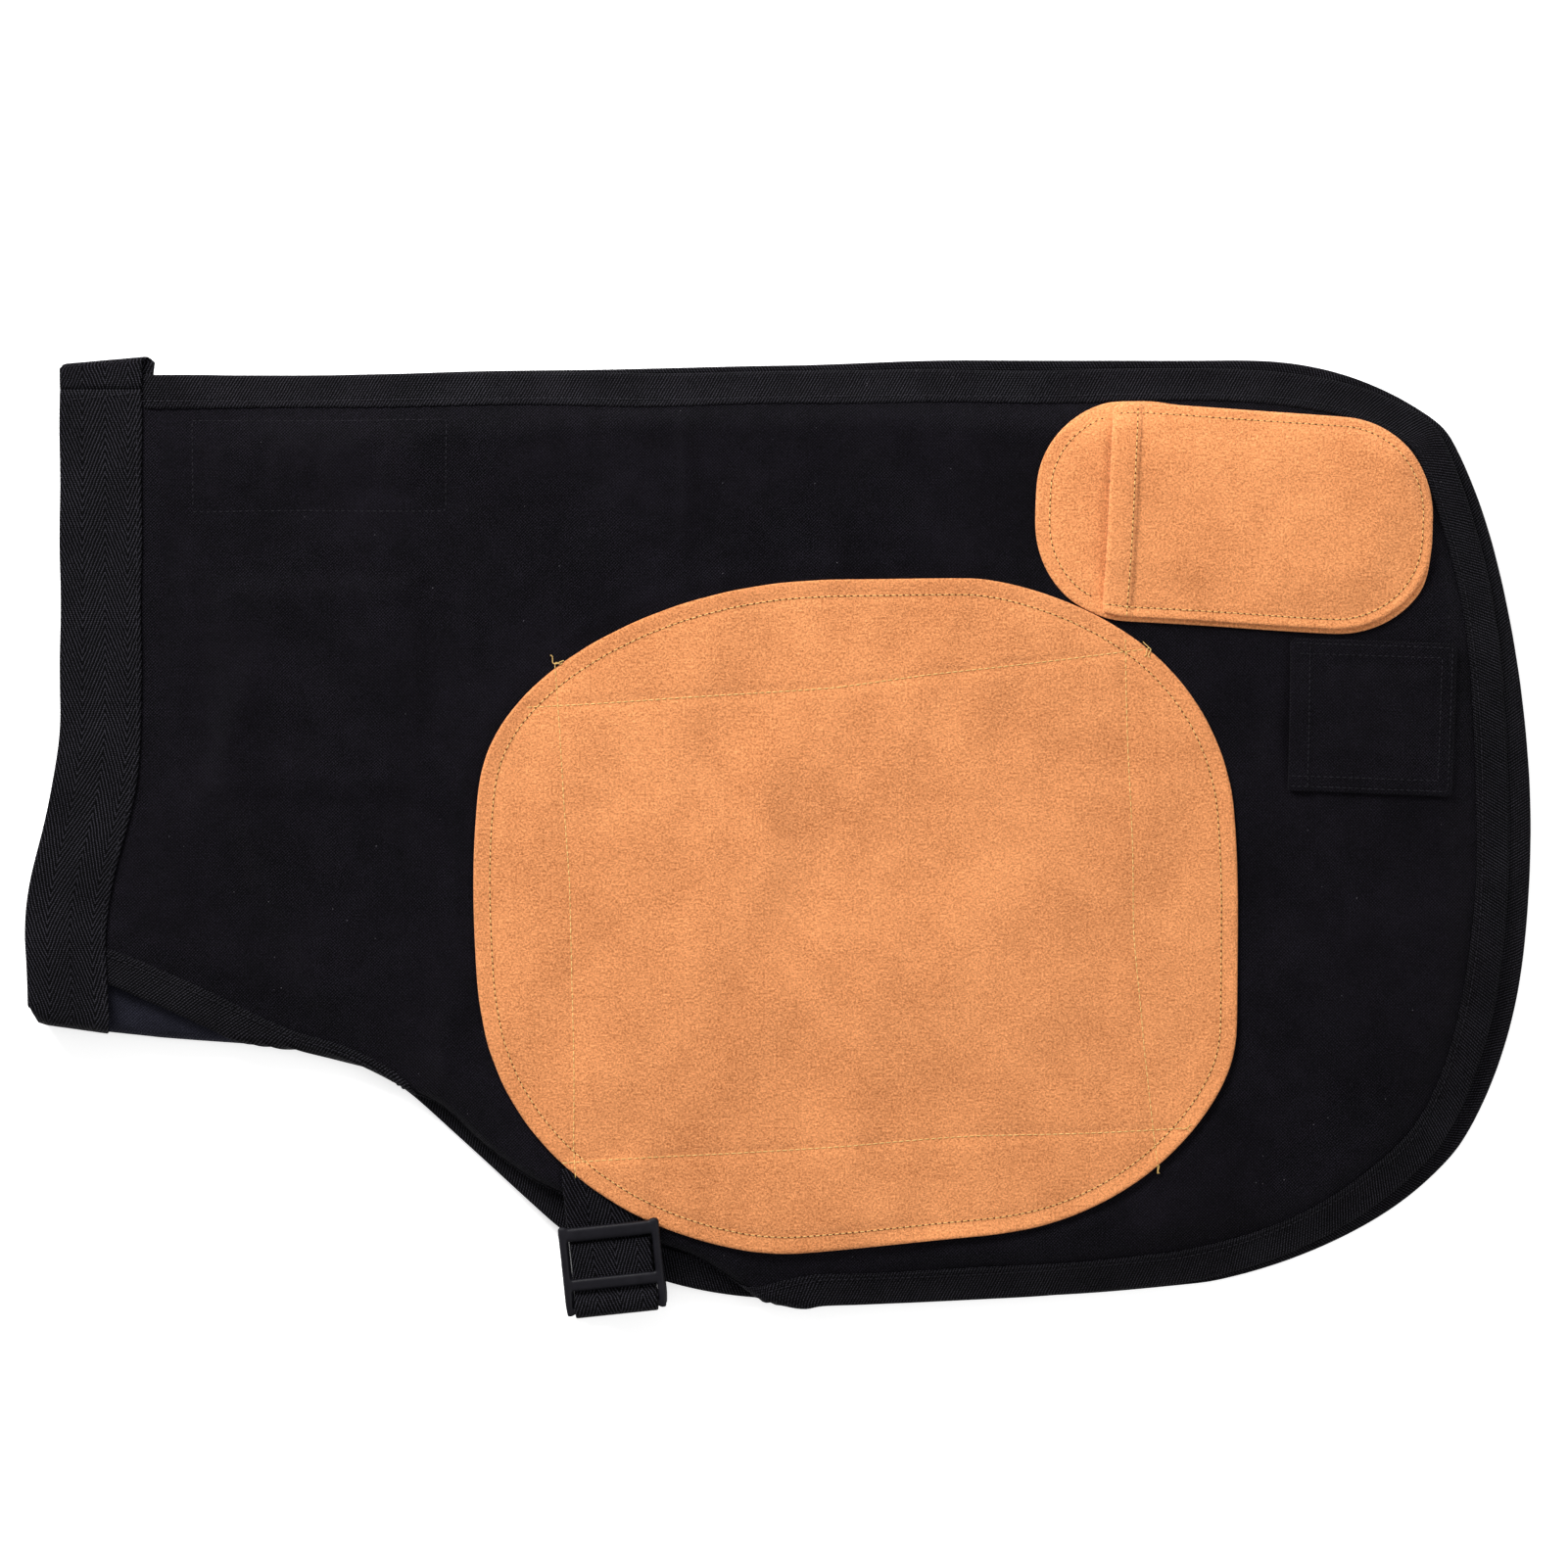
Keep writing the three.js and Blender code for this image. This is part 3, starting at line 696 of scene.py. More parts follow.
class Leg:
    """The cloth surface that every piece of one leg is laid on.

    near finds the edge of the flat cloth. roll is the width of the strip that is rolled under at each
    point of that edge, and out is the leg's own upward direction, away from the other leg.
    """

    def __init__(self, side):
        self.side, self.body = side, f"{side}_leg"
        self.out = 1 if side == "upper" else -1
        canvas = plan_outline(f"{side}_leg_canvas")
        self.edge = resample(canvas - inward(canvas) * EDGE_TO_CANVAS, 1.0, closed=True)
        normal = inward(self.edge)
        count = len(self.edge)
        self.roll = np.full(count, -99.0)
        flat = self.edge
        if side == "upper":
            bottom = smoothstep((normal[:, 1] + 0.05) / 0.3) * (self.edge[:, 1] < -40)
            place, *columns = ROLLED_EDGE.T
            moved, rolled = (np.interp(self.edge[:, 0], place, column) for column in columns)
            moved = blurred_loop(moved * bottom, 4)
            self.roll = blurred_loop(np.where(bottom > 0.5, rolled, -9.0), 4)
            flat = self.edge + normal * moved[:, None]
            flat = blurred_loop(flat, 3)
        self.near = Nearest(flat)
        self.flat = flat
        grid = np.stack([g.ravel() for g in field_grid()], axis=1)
        depth = Nearest(self.edge).depth(grid).clip(0)
        self.make_lift(grid, depth)

    def make_lift(self, grid, depth):
        seed = 11 if self.side == "upper" else 47
        reach = 30 * (1 + 0.16 * wrinkle_field(seed, 30, 30, 0).ravel().clip(-2, 2))
        x, y = grid[:, 0], grid[:, 1]
        away = np.linalg.norm(grid - LOCK_PLACE - [0, 25], axis=1)
        held = smoothstep((x + 305) / 80) * (1 - 0.82 * bell(away, 58))
        drop = 1 - smoothstep(depth / reach)
        lift = -EDGE_DROOP * drop * held
        if self.side == "upper":
            rolled = smoothstep((x + 285) / 40) * smoothstep((55 - x) / 40) * (y < 0)
            lift -= UPPER_EXTRA_DROOP * drop * held * (1 - rolled)
        crease = wrinkle_field(seed + 1, 26, 8, 70).ravel()
        soft = wrinkle_field(seed + 2, 34, 24, 20).ravel()
        small = wrinkle_field(seed + 3, 9, 5, 100).ravel()
        strength = 1.0 if self.side == "upper" else 0.5
        calm = smoothstep((x + 305) / 50)
        wrinkles = 0.42 * soft + 0.30 * crease + 0.10 * small
        lift = lift + strength * calm * wrinkles.clip(-0.9, 2.0)
        if self.side == "upper":
            lift = lift + FOLD_STRENGTH * calm * self.folds(grid)
        self.lift_field = lift.reshape(FIELD_SIZE)
        self.warp_field = [wrinkle_field(seed + k, 26, 26, 0) * 0.38 for k in (4, 5)]

    def folds(self, grid):
        """Relief on the upper leg of the belt that lies bundled under it, and its longer creases."""
        bundle_low, bundle_high = np.array([-262.0, 20.0]), np.array([-172.0, 118.0])
        inside = np.minimum(grid - bundle_low, bundle_high - grid).min(axis=1)
        total = 1.5 * smoothstep((inside + 7) / 14)
        for start, end, width, height in CREASES:
            total += ridge(grid, start, end, width, height)
        return total

    def lift(self, points):
        return sample(self.lift_field, points)

    def warp(self, points):
        free = smoothstep((np.linalg.norm(points - LOCK_PLACE, axis=1) - 30) / 40)
        free *= smoothstep((points[:, 0] + 300) / 40)
        moved = np.stack([sample(field, points) for field in self.warp_field], axis=1)
        return points + moved * free[:, None]

    def place(self, flat, height, roll=False):
        """Row-frame places of flat points at a height outward from the middle of the canvas."""
        flat = np.asarray(flat, float).reshape(-1, 2)
        level = np.broadcast_to(np.asarray(height, float), (len(flat),)).copy()
        plan = flat.copy()
        if roll and self.side == "upper":
            index, depth = self.near.find(flat)
            beyond = self.roll[index] + math.pi * ROLL_RADIUS / 2 - depth
            turn = np.clip(beyond / ROLL_RADIUS, 0, math.pi)
            normal = self.near.inward[index]
            outward = (ROLL_RADIUS * np.sin(turn) - (beyond - math.pi * ROLL_RADIUS).clip(0)
                       + level * np.sin(turn))
            curled = plan + normal * (beyond - outward)[:, None]
            rolled = beyond > 0
            plan[rolled] = curled[rolled]
            level = np.where(rolled, level * np.cos(turn) - ROLL_RADIUS * (1 - np.cos(turn)), level)
        plan = self.warp(plan)
        z = FOLD_LEVEL + self.out * (CANVAS_MIDDLE + level) + self.lift(plan)
        return np.column_stack([plan, z.clip(FLOOR_CLEARANCE, None)])

    def facing(self, points, height=0.0):
        """Unit vectors out of the cloth's front at flat points."""
        step = 1.5
        middle = self.place(points, height, roll=True)
        right = self.place(points + [step, 0], height, roll=True) - middle
        up = self.place(points + [0, step], height, roll=True) - middle
        normal = np.cross(right, up) * self.out
        return normal / np.maximum(np.linalg.norm(normal, axis=1, keepdims=True), 1e-9)

    def sheet(self, name, loop, underside, thickness, material, rings, spacing, relief=None, extra=None,
              roll=False):
        """A sheet laid on the leg. relief(points, depth) gives (raised underside, raised top)."""
        if extra is not None:
            extra = extra[Nearest(loop).depth(extra) > 1.0]
        points, triangles = fill(loop, rings, spacing, extra)
        depth = Nearest(loop).depth(points).clip(0)
        rounded = thickness * 0.3 * (1 - smoothstep(depth / 0.6))
        low = np.full(len(points), float(underside))
        high = low + thickness
        if relief:
            below, above = relief(points, depth)
            low, high = low + below, high + above
        top = self.place(points, high - rounded, roll)
        bottom = self.place(points, low + rounded, roll)
        return shell(f"{self.side}_{name}", top, bottom, triangles, material, self.body, points)

    def seam(self, name, line, height, material, radius=0.24, pitch=STITCH_PITCH, length=2.2, closed=False,
             inside=False, roll=False, offset=0.0):
        """A row of stitches along a flat line, on the front or on the inside of the leg."""
        line = resample(line, 0.5, closed)
        per = pitch / 0.5
        count = int(len(line) / per)
        first = (np.arange(count) * per + offset / 0.5).astype(int) % len(line)
        last = (first + int(length / 0.5)) % len(line)
        start, end = line[first], line[last]
        if callable(height):
            from_height, to_height = height(start), height(end)
        else:
            from_height = to_height = np.full(count, float(height))
        a = self.place(start, from_height, roll)
        b = self.place(end, to_height, roll)
        straight = np.linalg.norm(b - a, axis=1) < 1.6 * length
        normal = self.facing(start) * (-1 if inside else 1)
        return stitches(f"{self.side}_{name}", a[straight], b[straight], normal[straight], radius, material,
                        self.body)

    def black_seam(self, name, line, height, **how):
        self.seam(name, line, height, BLACK_THREAD, **how)

    def declare(self, piece, node, slot, loop, held="laid", on=None):
        """Hides the CAD node that a sheet stands for."""
        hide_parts(f"{self.side}_{node}")
        abs(area_of(loop)) * MM * MM

    def sewn_leather(self, name, line, height, closed=False, tight=True):
        """Cream stitches through leather, with dark marks between them where they are tight: painted shade of
        the needle holes.
        """
        seam = self.seam(name, line, height, CREAM, radius=0.22, length=2.0 if tight else 2.5, closed=closed)
        if tight:
            # Short dark arches at the holes: painted shade of the needle holes.
            holes = self.seam(f"{name}_holes", line, lambda points: height(points) - 0.02, NEEDLE_HOLE_SHADE,
                              radius=0.32, length=1.0, closed=closed, offset=2.0)


upper, lower = Leg("upper"), Leg("lower")


# ---------------------------------------------------------------- waistband and belt

WAIST_X = box("upper_belt_tail")[0][0] + STRAP_WIDTH / 2
WAIST_TOP = box("upper_waistband")[1][1]
WAIST_END = np.array([WAIST_X - 15.0, -80.2])
WAIST_TILT = math.radians(-8)
WEB_HEIGHT = FRONT + STRAP / 2


def waist_line():
    bend = (WAIST_X, 59.8)
    low = (WAIST_X - 16.5, -48.2)
    top = np.linspace((WAIST_X, WAIST_TOP), bend, 40)
    middle = bezier(bend, (WAIST_X, 9.8), (WAIST_X - 16.5, -10.2), low, 40)
    end = np.linspace(low, WAIST_END, 12)
    return resample(np.vstack([top, middle[1:], end[1:]]), 3.0)


def waist_across(line):
    along = tangents(line)
    across = np.column_stack([-along[:, 1], along[:, 0], np.zeros(len(line))])
    tilt = smoothstep((-40 - line[:, 1]) / 40)[:, None]
    turned = np.array([math.cos(WAIST_TILT), math.sin(WAIST_TILT), 0])
    return across * (1 - tilt) + turned * tilt


def inner_waist_x(y):
    """The waistband's edge towards the leg, at each y."""
    line = waist_line()
    return np.interp(y, line[::-1, 1], line[::-1, 0]) + STRAP_WIDTH / 2


def waistband():
    line = waist_line()
    across = waist_across(line)
    up_side = upper.place(line, WEB_HEIGHT)
    down_side = lower.place(line, WEB_HEIGHT)[::-1]
    drop = np.array([math.sin(WAIST_TILT), -math.cos(WAIST_TILT)])
    turn = np.linspace(0, math.pi, 15)[1:-1]
    middle = (up_side[-1, 2] + down_side[0, 2]) / 2
    half = (up_side[-1, 2] - down_side[0, 2]) / 2
    plan = line[-1] + drop * (1.6 + 6.2 * np.sin(turn) ** 0.8)[:, None]
    round_fold = np.column_stack([plan, middle + half * np.cos(turn)])
    path = np.vstack([up_side, round_fold, down_side])
    turned = np.broadcast_to([math.cos(WAIST_TILT), math.sin(WAIST_TILT), 0], round_fold.shape)
    sides = np.vstack([across, turned, across[::-1]])
    band = ribbon("waistband", path, sides, None)
    places = np.array([v.co for v in band.data.vertices]) / MM
    across_end = (places[:, :2] - line[-1]) @ [math.cos(WAIST_TILT), math.sin(WAIST_TILT)]
    corner = ((-11.0 - across_end) / 8).clip(0, 1) ** 2 * smoothstep((-77 - places[:, 1]) / 9)
    places[:, :2] += corner[:, None] * [2.2, 5.5]
    band.data.vertices.foreach_set("co", (places * MM).ravel())
    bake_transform(band)
    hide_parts("upper_waistband", "lower_waistband")
    for leg in (upper, lower):
        inner = line + across[:, :2] * (STRAP_WIDTH / 2 - 2.2)
        leg.seam("waist_stitches", inner[2:-1], WEB_HEIGHT + STRAP / 2 + 0.05, BLACK_THREAD)
        row = np.array([(WAIST_X - 16, WAIST_TOP - 5), (WAIST_X + 17, WAIST_TOP - 1.6)])
        leg.seam("belt_turn_stitches", row, WEB_HEIGHT + STRAP / 2 + 0.05, BLACK_THREAD)


TAIL_START = 189.8
TURN_REACH = 219.3
TURN_SHIFT = 5.0
LOWER_TAIL = (8.0, 190.0)
UPPER_TAIL = (8.0 + math.degrees(math.asin(44 / 160)), 160.0)


def tail_plan(angle, length):
    heading = np.array([math.sin(math.radians(angle)), -math.cos(math.radians(angle))])
    start = np.array([WAIST_X, TAIL_START])
    bend = start + [0, -18]
    soft = bezier(start, start + [0, -12], bend + heading * 6, bend + heading * 20, 12)
    end = np.linspace(bend + heading * 20, bend + heading * (length - 20), 40)
    return np.vstack([soft, end[1:]]), heading


def belt_tail(leg, angle, length, looped):
    """The waistband's webbing turned over the leg's corner and led in between the legs."""
    inner_level = CANVAS_HALF + 0.3 + STRAP / 2
    y = np.linspace(WAIST_TOP + 0.02, TURN_REACH, 5)
    front = leg.place(np.column_stack([np.full(5, WAIST_X), y]), inner_level)
    turn = np.linspace(0, math.pi, 10)[1:-1]
    over = np.column_stack([WAIST_X + TURN_SHIFT * turn / math.pi, TURN_REACH + 1.7 * np.sin(turn),
                            FOLD_LEVEL + leg.out * (CANVAS_MIDDLE + inner_level * np.cos(turn))])
    back_x = WAIST_X + TURN_SHIFT * np.linspace(1, 0, 8) ** 0.7
    back = leg.place(np.column_stack([back_x, np.linspace(TURN_REACH, TAIL_START + 1, 8)]),
                     -inner_level)
    plan, heading = tail_plan(angle, length)
    run = np.column_stack([plan, np.full(len(plan), FOLD_LEVEL + leg.out * (CANVAS_MIDDLE - inner_level))])
    run[:, 2] += 0.12 * np.sin(plan[:, 1] / 11)
    parts = [front, over, back, run]
    if looped:
        around = np.radians(np.linspace(90, -165, 26))
        centre = np.array([*plan[-1], 13.5])
        out = np.array([*heading, 0])
        ring = centre + 2.7 * (np.cos(around)[:, None] * out + np.sin(around)[:, None] * np.array([0, 0, 1]))
        parts.append(ring[1:])
    path = np.vstack(parts)
    path = path[np.concatenate([[True], np.linalg.norm(np.diff(path, axis=0), axis=1) > 0.05])]
    across = np.tile([-heading[1], heading[0], 0], (len(path), 1))
    early = smoothstep((path[:, 1] - (TAIL_START - 30)) / 30)[:, None]
    lean = math.radians(5) * smoothstep((path[:, 1] - WAIST_TOP) / 9)
    level = np.column_stack([np.cos(lean), np.sin(lean), 0 * lean])
    across = across * (1 - early) + level * early
    piece = ribbon(f"{leg.side}_belt_tail_webbing", path, across, leg.body)
    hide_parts(f"{leg.side}_belt_tail")
    run_along(path)[-1]


waistband()
belt_tail(upper, *UPPER_TAIL, looped=True)
belt_tail(lower, *LOWER_TAIL, looped=False)


# ---------------------------------------------------------------- leg canvas and its edge binding

STRAP_X = float(sum(box("upper_thigh_strap")[k][0] for k in (0, 1)) / 2)
MAGNET_LOW, MAGNET_HIGH = (v[:2] for v in box("upper_magnet_backing"))
MAGNET_PLACES = [sum(box(f"upper_magnet_{i}")[k][:2] for k in (0, 1)) / 2 for i in range(1, 5)]


def rectangle(low, high, inset=0.0):
    (x0, y0), (x1, y1) = low + inset, high - inset
    return np.array([(x0, y0), (x1, y0), (x1, y1), (x0, y1)], float)


def canvas_relief(leg):
    """Bumps in the canvas from the magnets, the thigh backing's edge and the thigh strap behind it."""
    backing = Nearest(plan_outline(f"{leg.side}_thigh_backing"))
    patch = Nearest(plan_outline(f"{leg.side}_thigh_patch"))
    magnet_seam = resample(rectangle(MAGNET_LOW, MAGNET_HIGH, 2.5), 1.0, closed=True)

    def relief(points, depth):
        clear = 1 - smoothstep((patch.depth(points) + 3.0) / 2.5)
        raised = 0.75 * bell(backing.depth(points) + 0.6, 1.9)
        beside_strap = smoothstep((21.5 - np.abs(points[:, 0] - STRAP_X)) / 5)
        raised += 0.8 * beside_strap * smoothstep((points[:, 1] - 130) / 14)
        for magnet in MAGNET_PLACES:
            away = np.linalg.norm(points - magnet, axis=1)
            raised += 1.25 * smoothstep((13.5 - away) / 5.5)
        sewn = bell(distance_to_line(points, magnet_seam), 1.6)
        raised -= 0.45 * sewn
        edge = smoothstep((depth - 14) / 8)
        raised *= clear * edge
        return raised, raised

    return relief


def leg_canvas(leg):
    loop = resample(leg.flat + leg.near.inward * EDGE_TO_CANVAS, 2.6, closed=True)
    spacing = 3.0 if leg.side == "upper" else 5.0
    rings = [1.6, 3.6, 6.0, 9.0, 12.0, 15.0, 18.0, 21.0]
    piece = leg.sheet("canvas", loop, -CANVAS_HALF, 2 * CANVAS_HALF, CANVAS, rings, spacing,
                      canvas_relief(leg), roll=True)
    held, on = ("folded", "lower_canvas") if leg.side == "upper" else ("laid", "floor")
    leg.declare(piece, "leg_canvas", "black_canvas", loop, held, on)


def binding_section():
    """Half of the folded tape's section as (depth from the edge, height), from its inner edge outward."""
    w, h = BINDING_WIDTH, BINDING_HALF
    outer = [(w, h - 0.5), (w - 0.3, h - 0.12), (w - 1.5, h + 0.02), (w - 2.7, h - 0.22), (w - 3.4, h - 0.28),
             (w - 4.3, h - 0.15), (w - 7, h + 0.1), (w - 10, h + 0.05), (3.2, h + 0.12), (1.6, h - 0.02),
             (0.6, h - 0.4), (0.08, h * 0.42)]
    inner = [(w - 0.1, h - 0.9), (w - 3, h - 0.95), (w - 8, h - 0.9), (3.0, h - 0.85), (1.4, h - 0.95),
             (0.95, 0.3)]
    return np.array(outer), np.array(inner)


def edge_binding(leg):
    outer, inner = binding_section()
    mirror = np.array([1, -1])
    section = np.vstack([outer, [(0, 0)], outer[::-1] * mirror, inner * mirror, inner[::-1]])
    loop, normal = leg.near.loop, leg.near.inward
    beyond_band = loop[:, 0] - inner_waist_x(loop[:, 1])
    clear = beyond_band > -9
    if leg.side == "lower":
        clear &= (loop[:, 0] > -222) | (loop[:, 1] > 0)
    first = int(np.argmax(clear & ~np.roll(clear, 1)))
    order = (first + np.arange(int(clear.sum()))) % len(loop)
    order = order[::2]
    run = np.arange(len(order)) * 2.0
    pucker = 0.22 * np.sin(run * 2 * math.pi / STITCH_PITCH / 2) + 0.35 * np.sin(run / 17.0)
    flat = loop[order][:, None] + normal[order][:, None] * section[None, :, :1]
    wide = section[None, :, 0:1] > BINDING_WIDTH - 3
    flat = flat + normal[order][:, None] * (pucker[:, None, None] * wide)
    pressed = 0.48 + 0.52 * smoothstep((beyond_band[order] - 0.3) / 3.5)
    height = (section[None, :, 1] * pressed[:, None]).ravel()
    rings = leg.place(flat.reshape(-1, 2), height, roll=True).reshape(len(order), len(section), 3)
    girth = run_along(section)
    uv = np.stack([np.broadcast_to(run[:, None], rings.shape[:2]),
                   np.broadcast_to(girth[None], rings.shape[:2])], axis=2)
    piece = sweep(f"{leg.side}_binding", rings, TAPE_CLOTH, leg.body, uv)
    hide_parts(f"{leg.side}_edge_binding")
    line = loop[order] + normal[order] * (BINDING_WIDTH - 3.0)
    for inside in (False, True):
        where = "inner" if inside else "outer"
        height = -(BINDING_HALF - 0.1) if inside else BINDING_HALF - 0.1
        leg.black_seam(f"binding_stitches_{where}", line[2:-2], height, inside=inside, roll=True)


for leg in (upper, lower):
    leg_canvas(leg)
    edge_binding(leg)


# ---------------------------------------------------------------- thigh patch and its backing

PATCH_MIDDLE = sum(v[:2] for v in box("upper_thigh_patch")) / 2
PATCH_SEAM = 7.6
# Straight stitch lines across the patch, from its middle.
PATCH_LINES = {
    "waist": [(-139, 117), (-132.5, 16), (-131, -108), (-129.5, -124.5)],
    "hem": [(125, 128.5), (129, -7), (133.5, -62), (140.5, -114.5)],
    "outer": [(-152.5, 97), (-8.5, 106), (135, 123.5)],
    "inner": [(-136, -115), (-56, -110), (57.5, -101.5), (112.5, -100), (153, -98)],
}
PATCH_KNOTS = [(-139, 117), (136, 124), (140.5, -114.5), (-127, -119), (153, -98)]


def thread_ends(leg, number, place, height):
    """A small knot with two loose thread ends."""
    random = np.random.default_rng(60 + number)
    runs = []
    for turn in random.uniform(0, 2 * math.pi, 3):
        reach = random.uniform(2.2, 4.6)
        bend = random.uniform(-1.2, 1.2)
        tip = np.array([math.cos(turn), math.sin(turn)]) * reach
        side = np.array([-tip[1], tip[0]]) * bend * 0.5
        runs.append(bezier((0, 0), tip * 0.3 + side, tip * 0.7 - side, tip, 7))
    a, b = [], []
    for run in runs:
        line = np.array(place) + run
        a.append(line[:-1])
        b.append(line[1:])
    a, b = np.vstack(a), np.vstack(b)
    start, end = leg.place(a, height), leg.place(b, height)
    seam = stitches(f"{leg.side}_thread_ends_{number}", start, end, leg.facing(a), 0.24, CREAM, leg.body)


def thigh_patch(leg):
    loop = resample(plan_outline(f"{leg.side}_thigh_patch"), 2.2, closed=True)
    lines = {name: resample(np.array(line) + PATCH_MIDDLE, 1.0) for name, line in PATCH_LINES.items()}
    sewn = np.vstack(list(lines.values()))
    beside = []
    for line in lines.values():
        along = tangents(line)
        normal = np.column_stack([-along[:, 1], along[:, 0]])
        beside += [line[::3] + normal[::3] * offset for offset in (-2.0, 0.0, 2.0)]
    beside = np.vstack(beside)
    keep = np.ones(len(beside), bool)
    tree = tree_of(beside)
    for i, (x, y) in enumerate(beside):
        keep[i] = not any(j < i and keep[j] for _, j, _ in tree.find_range((x, y, 0), 1.0))
    beside = beside[keep]
    curl = wrinkle_field(81, 20, 20, 0)
    swell = wrinkle_field(82, 22, 22, 0)
    crease = wrinkle_field(83, 24, 6, 75)
    near = Nearest(loop)

    def relief(points, depth):
        groove = 0.55 * bell(distance_to_line(points, sewn), 1.9)
        groove += 0.50 * bell(near.depth(points) - PATCH_SEAM, 1.7)
        border = smoothstep((5.5 - depth) / 5.5) * (0.35 + 0.35 * sample(curl, points)).clip(0, 1.2)
        puff = (0.22 * sample(swell, points)).clip(-0.05, 0.6) * smoothstep(depth / 14)
        puff += (0.16 * sample(crease, points)).clip(-0.1, 0.5) * smoothstep(depth / 20)
        from_bar = points - LOCK_PLACE
        beside_tab = smoothstep((STRAP_WIDTH / 2 + 3.5 - np.abs(from_bar @ LOCK_ACROSS)) / 4)
        over_tab = 1.35 * beside_tab * smoothstep((72 - from_bar @ LOCK_IN) / 7)
        raised = border * (1 - beside_tab * 0.6) + puff + over_tab
        return raised, raised - groove

    spacing = 2.8 if leg.side == "upper" else 4.0
    rings = [0.6, 1.8, 3.6, 5.4, 7.6, 9.8, 12.5]
    piece = leg.sheet("suede_patch", loop, FRONT, SUEDE, SUEDE_PATCH, rings, spacing, relief,
                      extra=beside)
    leg.declare(piece, "thigh_patch", "tan_suede", loop)

    def height(points):
        below, above = relief(points, near.depth(points).clip(0))
        return FRONT + SUEDE + above + 0.12

    rim = resample(loop + near.inward * PATCH_SEAM, 1.0, closed=True)
    for name, line in [("rim", rim), *lines.items()]:
        leg.sewn_leather(f"patch_stitches_{name}", line, height, name == "rim", name == "rim")
    if leg.side == "upper":
        for number, place in enumerate(PATCH_KNOTS):
            thread_ends(leg, number, PATCH_MIDDLE + place, float(FRONT + SUEDE + 0.35))


def thigh_backing(leg):
    loop = resample(plan_outline(f"{leg.side}_thigh_backing"), 3.0, closed=True)
    if leg.side == "upper":
        index, depth = leg.near.find(loop)
        wanted = leg.roll[index].clip(-2, None) + math.pi * ROLL_RADIUS / 2 + 2.5
        loop = loop + leg.near.inward[index] * (wanted - depth).clip(0)[:, None]
        loop = resample(blurred_loop(loop, 2), 3.0, closed=True)
    level = -CANVAS_HALF - 0.3 - 1.0
    piece = leg.sheet("thigh_backing_cloth", loop, level, 1.0, CANVAS, [0.6, 3.0, 7.0], 6.0)
    leg.declare(piece, "thigh_backing", "black_canvas", loop)
    rim = resample(loop + inward(loop) * 3.5, 1.0, closed=True)
    leg.black_seam("backing_stitches", rim, level - 0.05, closed=True, inside=True)


for leg in (upper, lower):
    thigh_patch(leg)
    thigh_backing(leg)


# ---------------------------------------------------------------- pockets

KNIFE_MOUTH = -60.0
KNIFE_HEM = 13.6
KNIFE_FRONT = FRONT + SUEDE + 0.25
TOOL_LENGTH, TOOL_WIDTH = 77.0, 71.0


class Directions:
    """A pocket's own directions from its middle: along it towards the hem, and across it."""

    def __init__(self, node, degrees):
        self.middle = sum(v[:2] for v in box(node)) / 2
        c, s = math.cos(math.radians(degrees)), math.sin(math.radians(degrees))
        self.turn = np.array([[c, -s], [s, c]])

    def own(self, points):
        return (points - self.middle) @ self.turn

    def row(self, own):
        return own @ self.turn.T + self.middle


KNIFE = Directions("upper_knife_pocket_back", -3.4)
TOOL = Directions("upper_tool_pocket", -2)


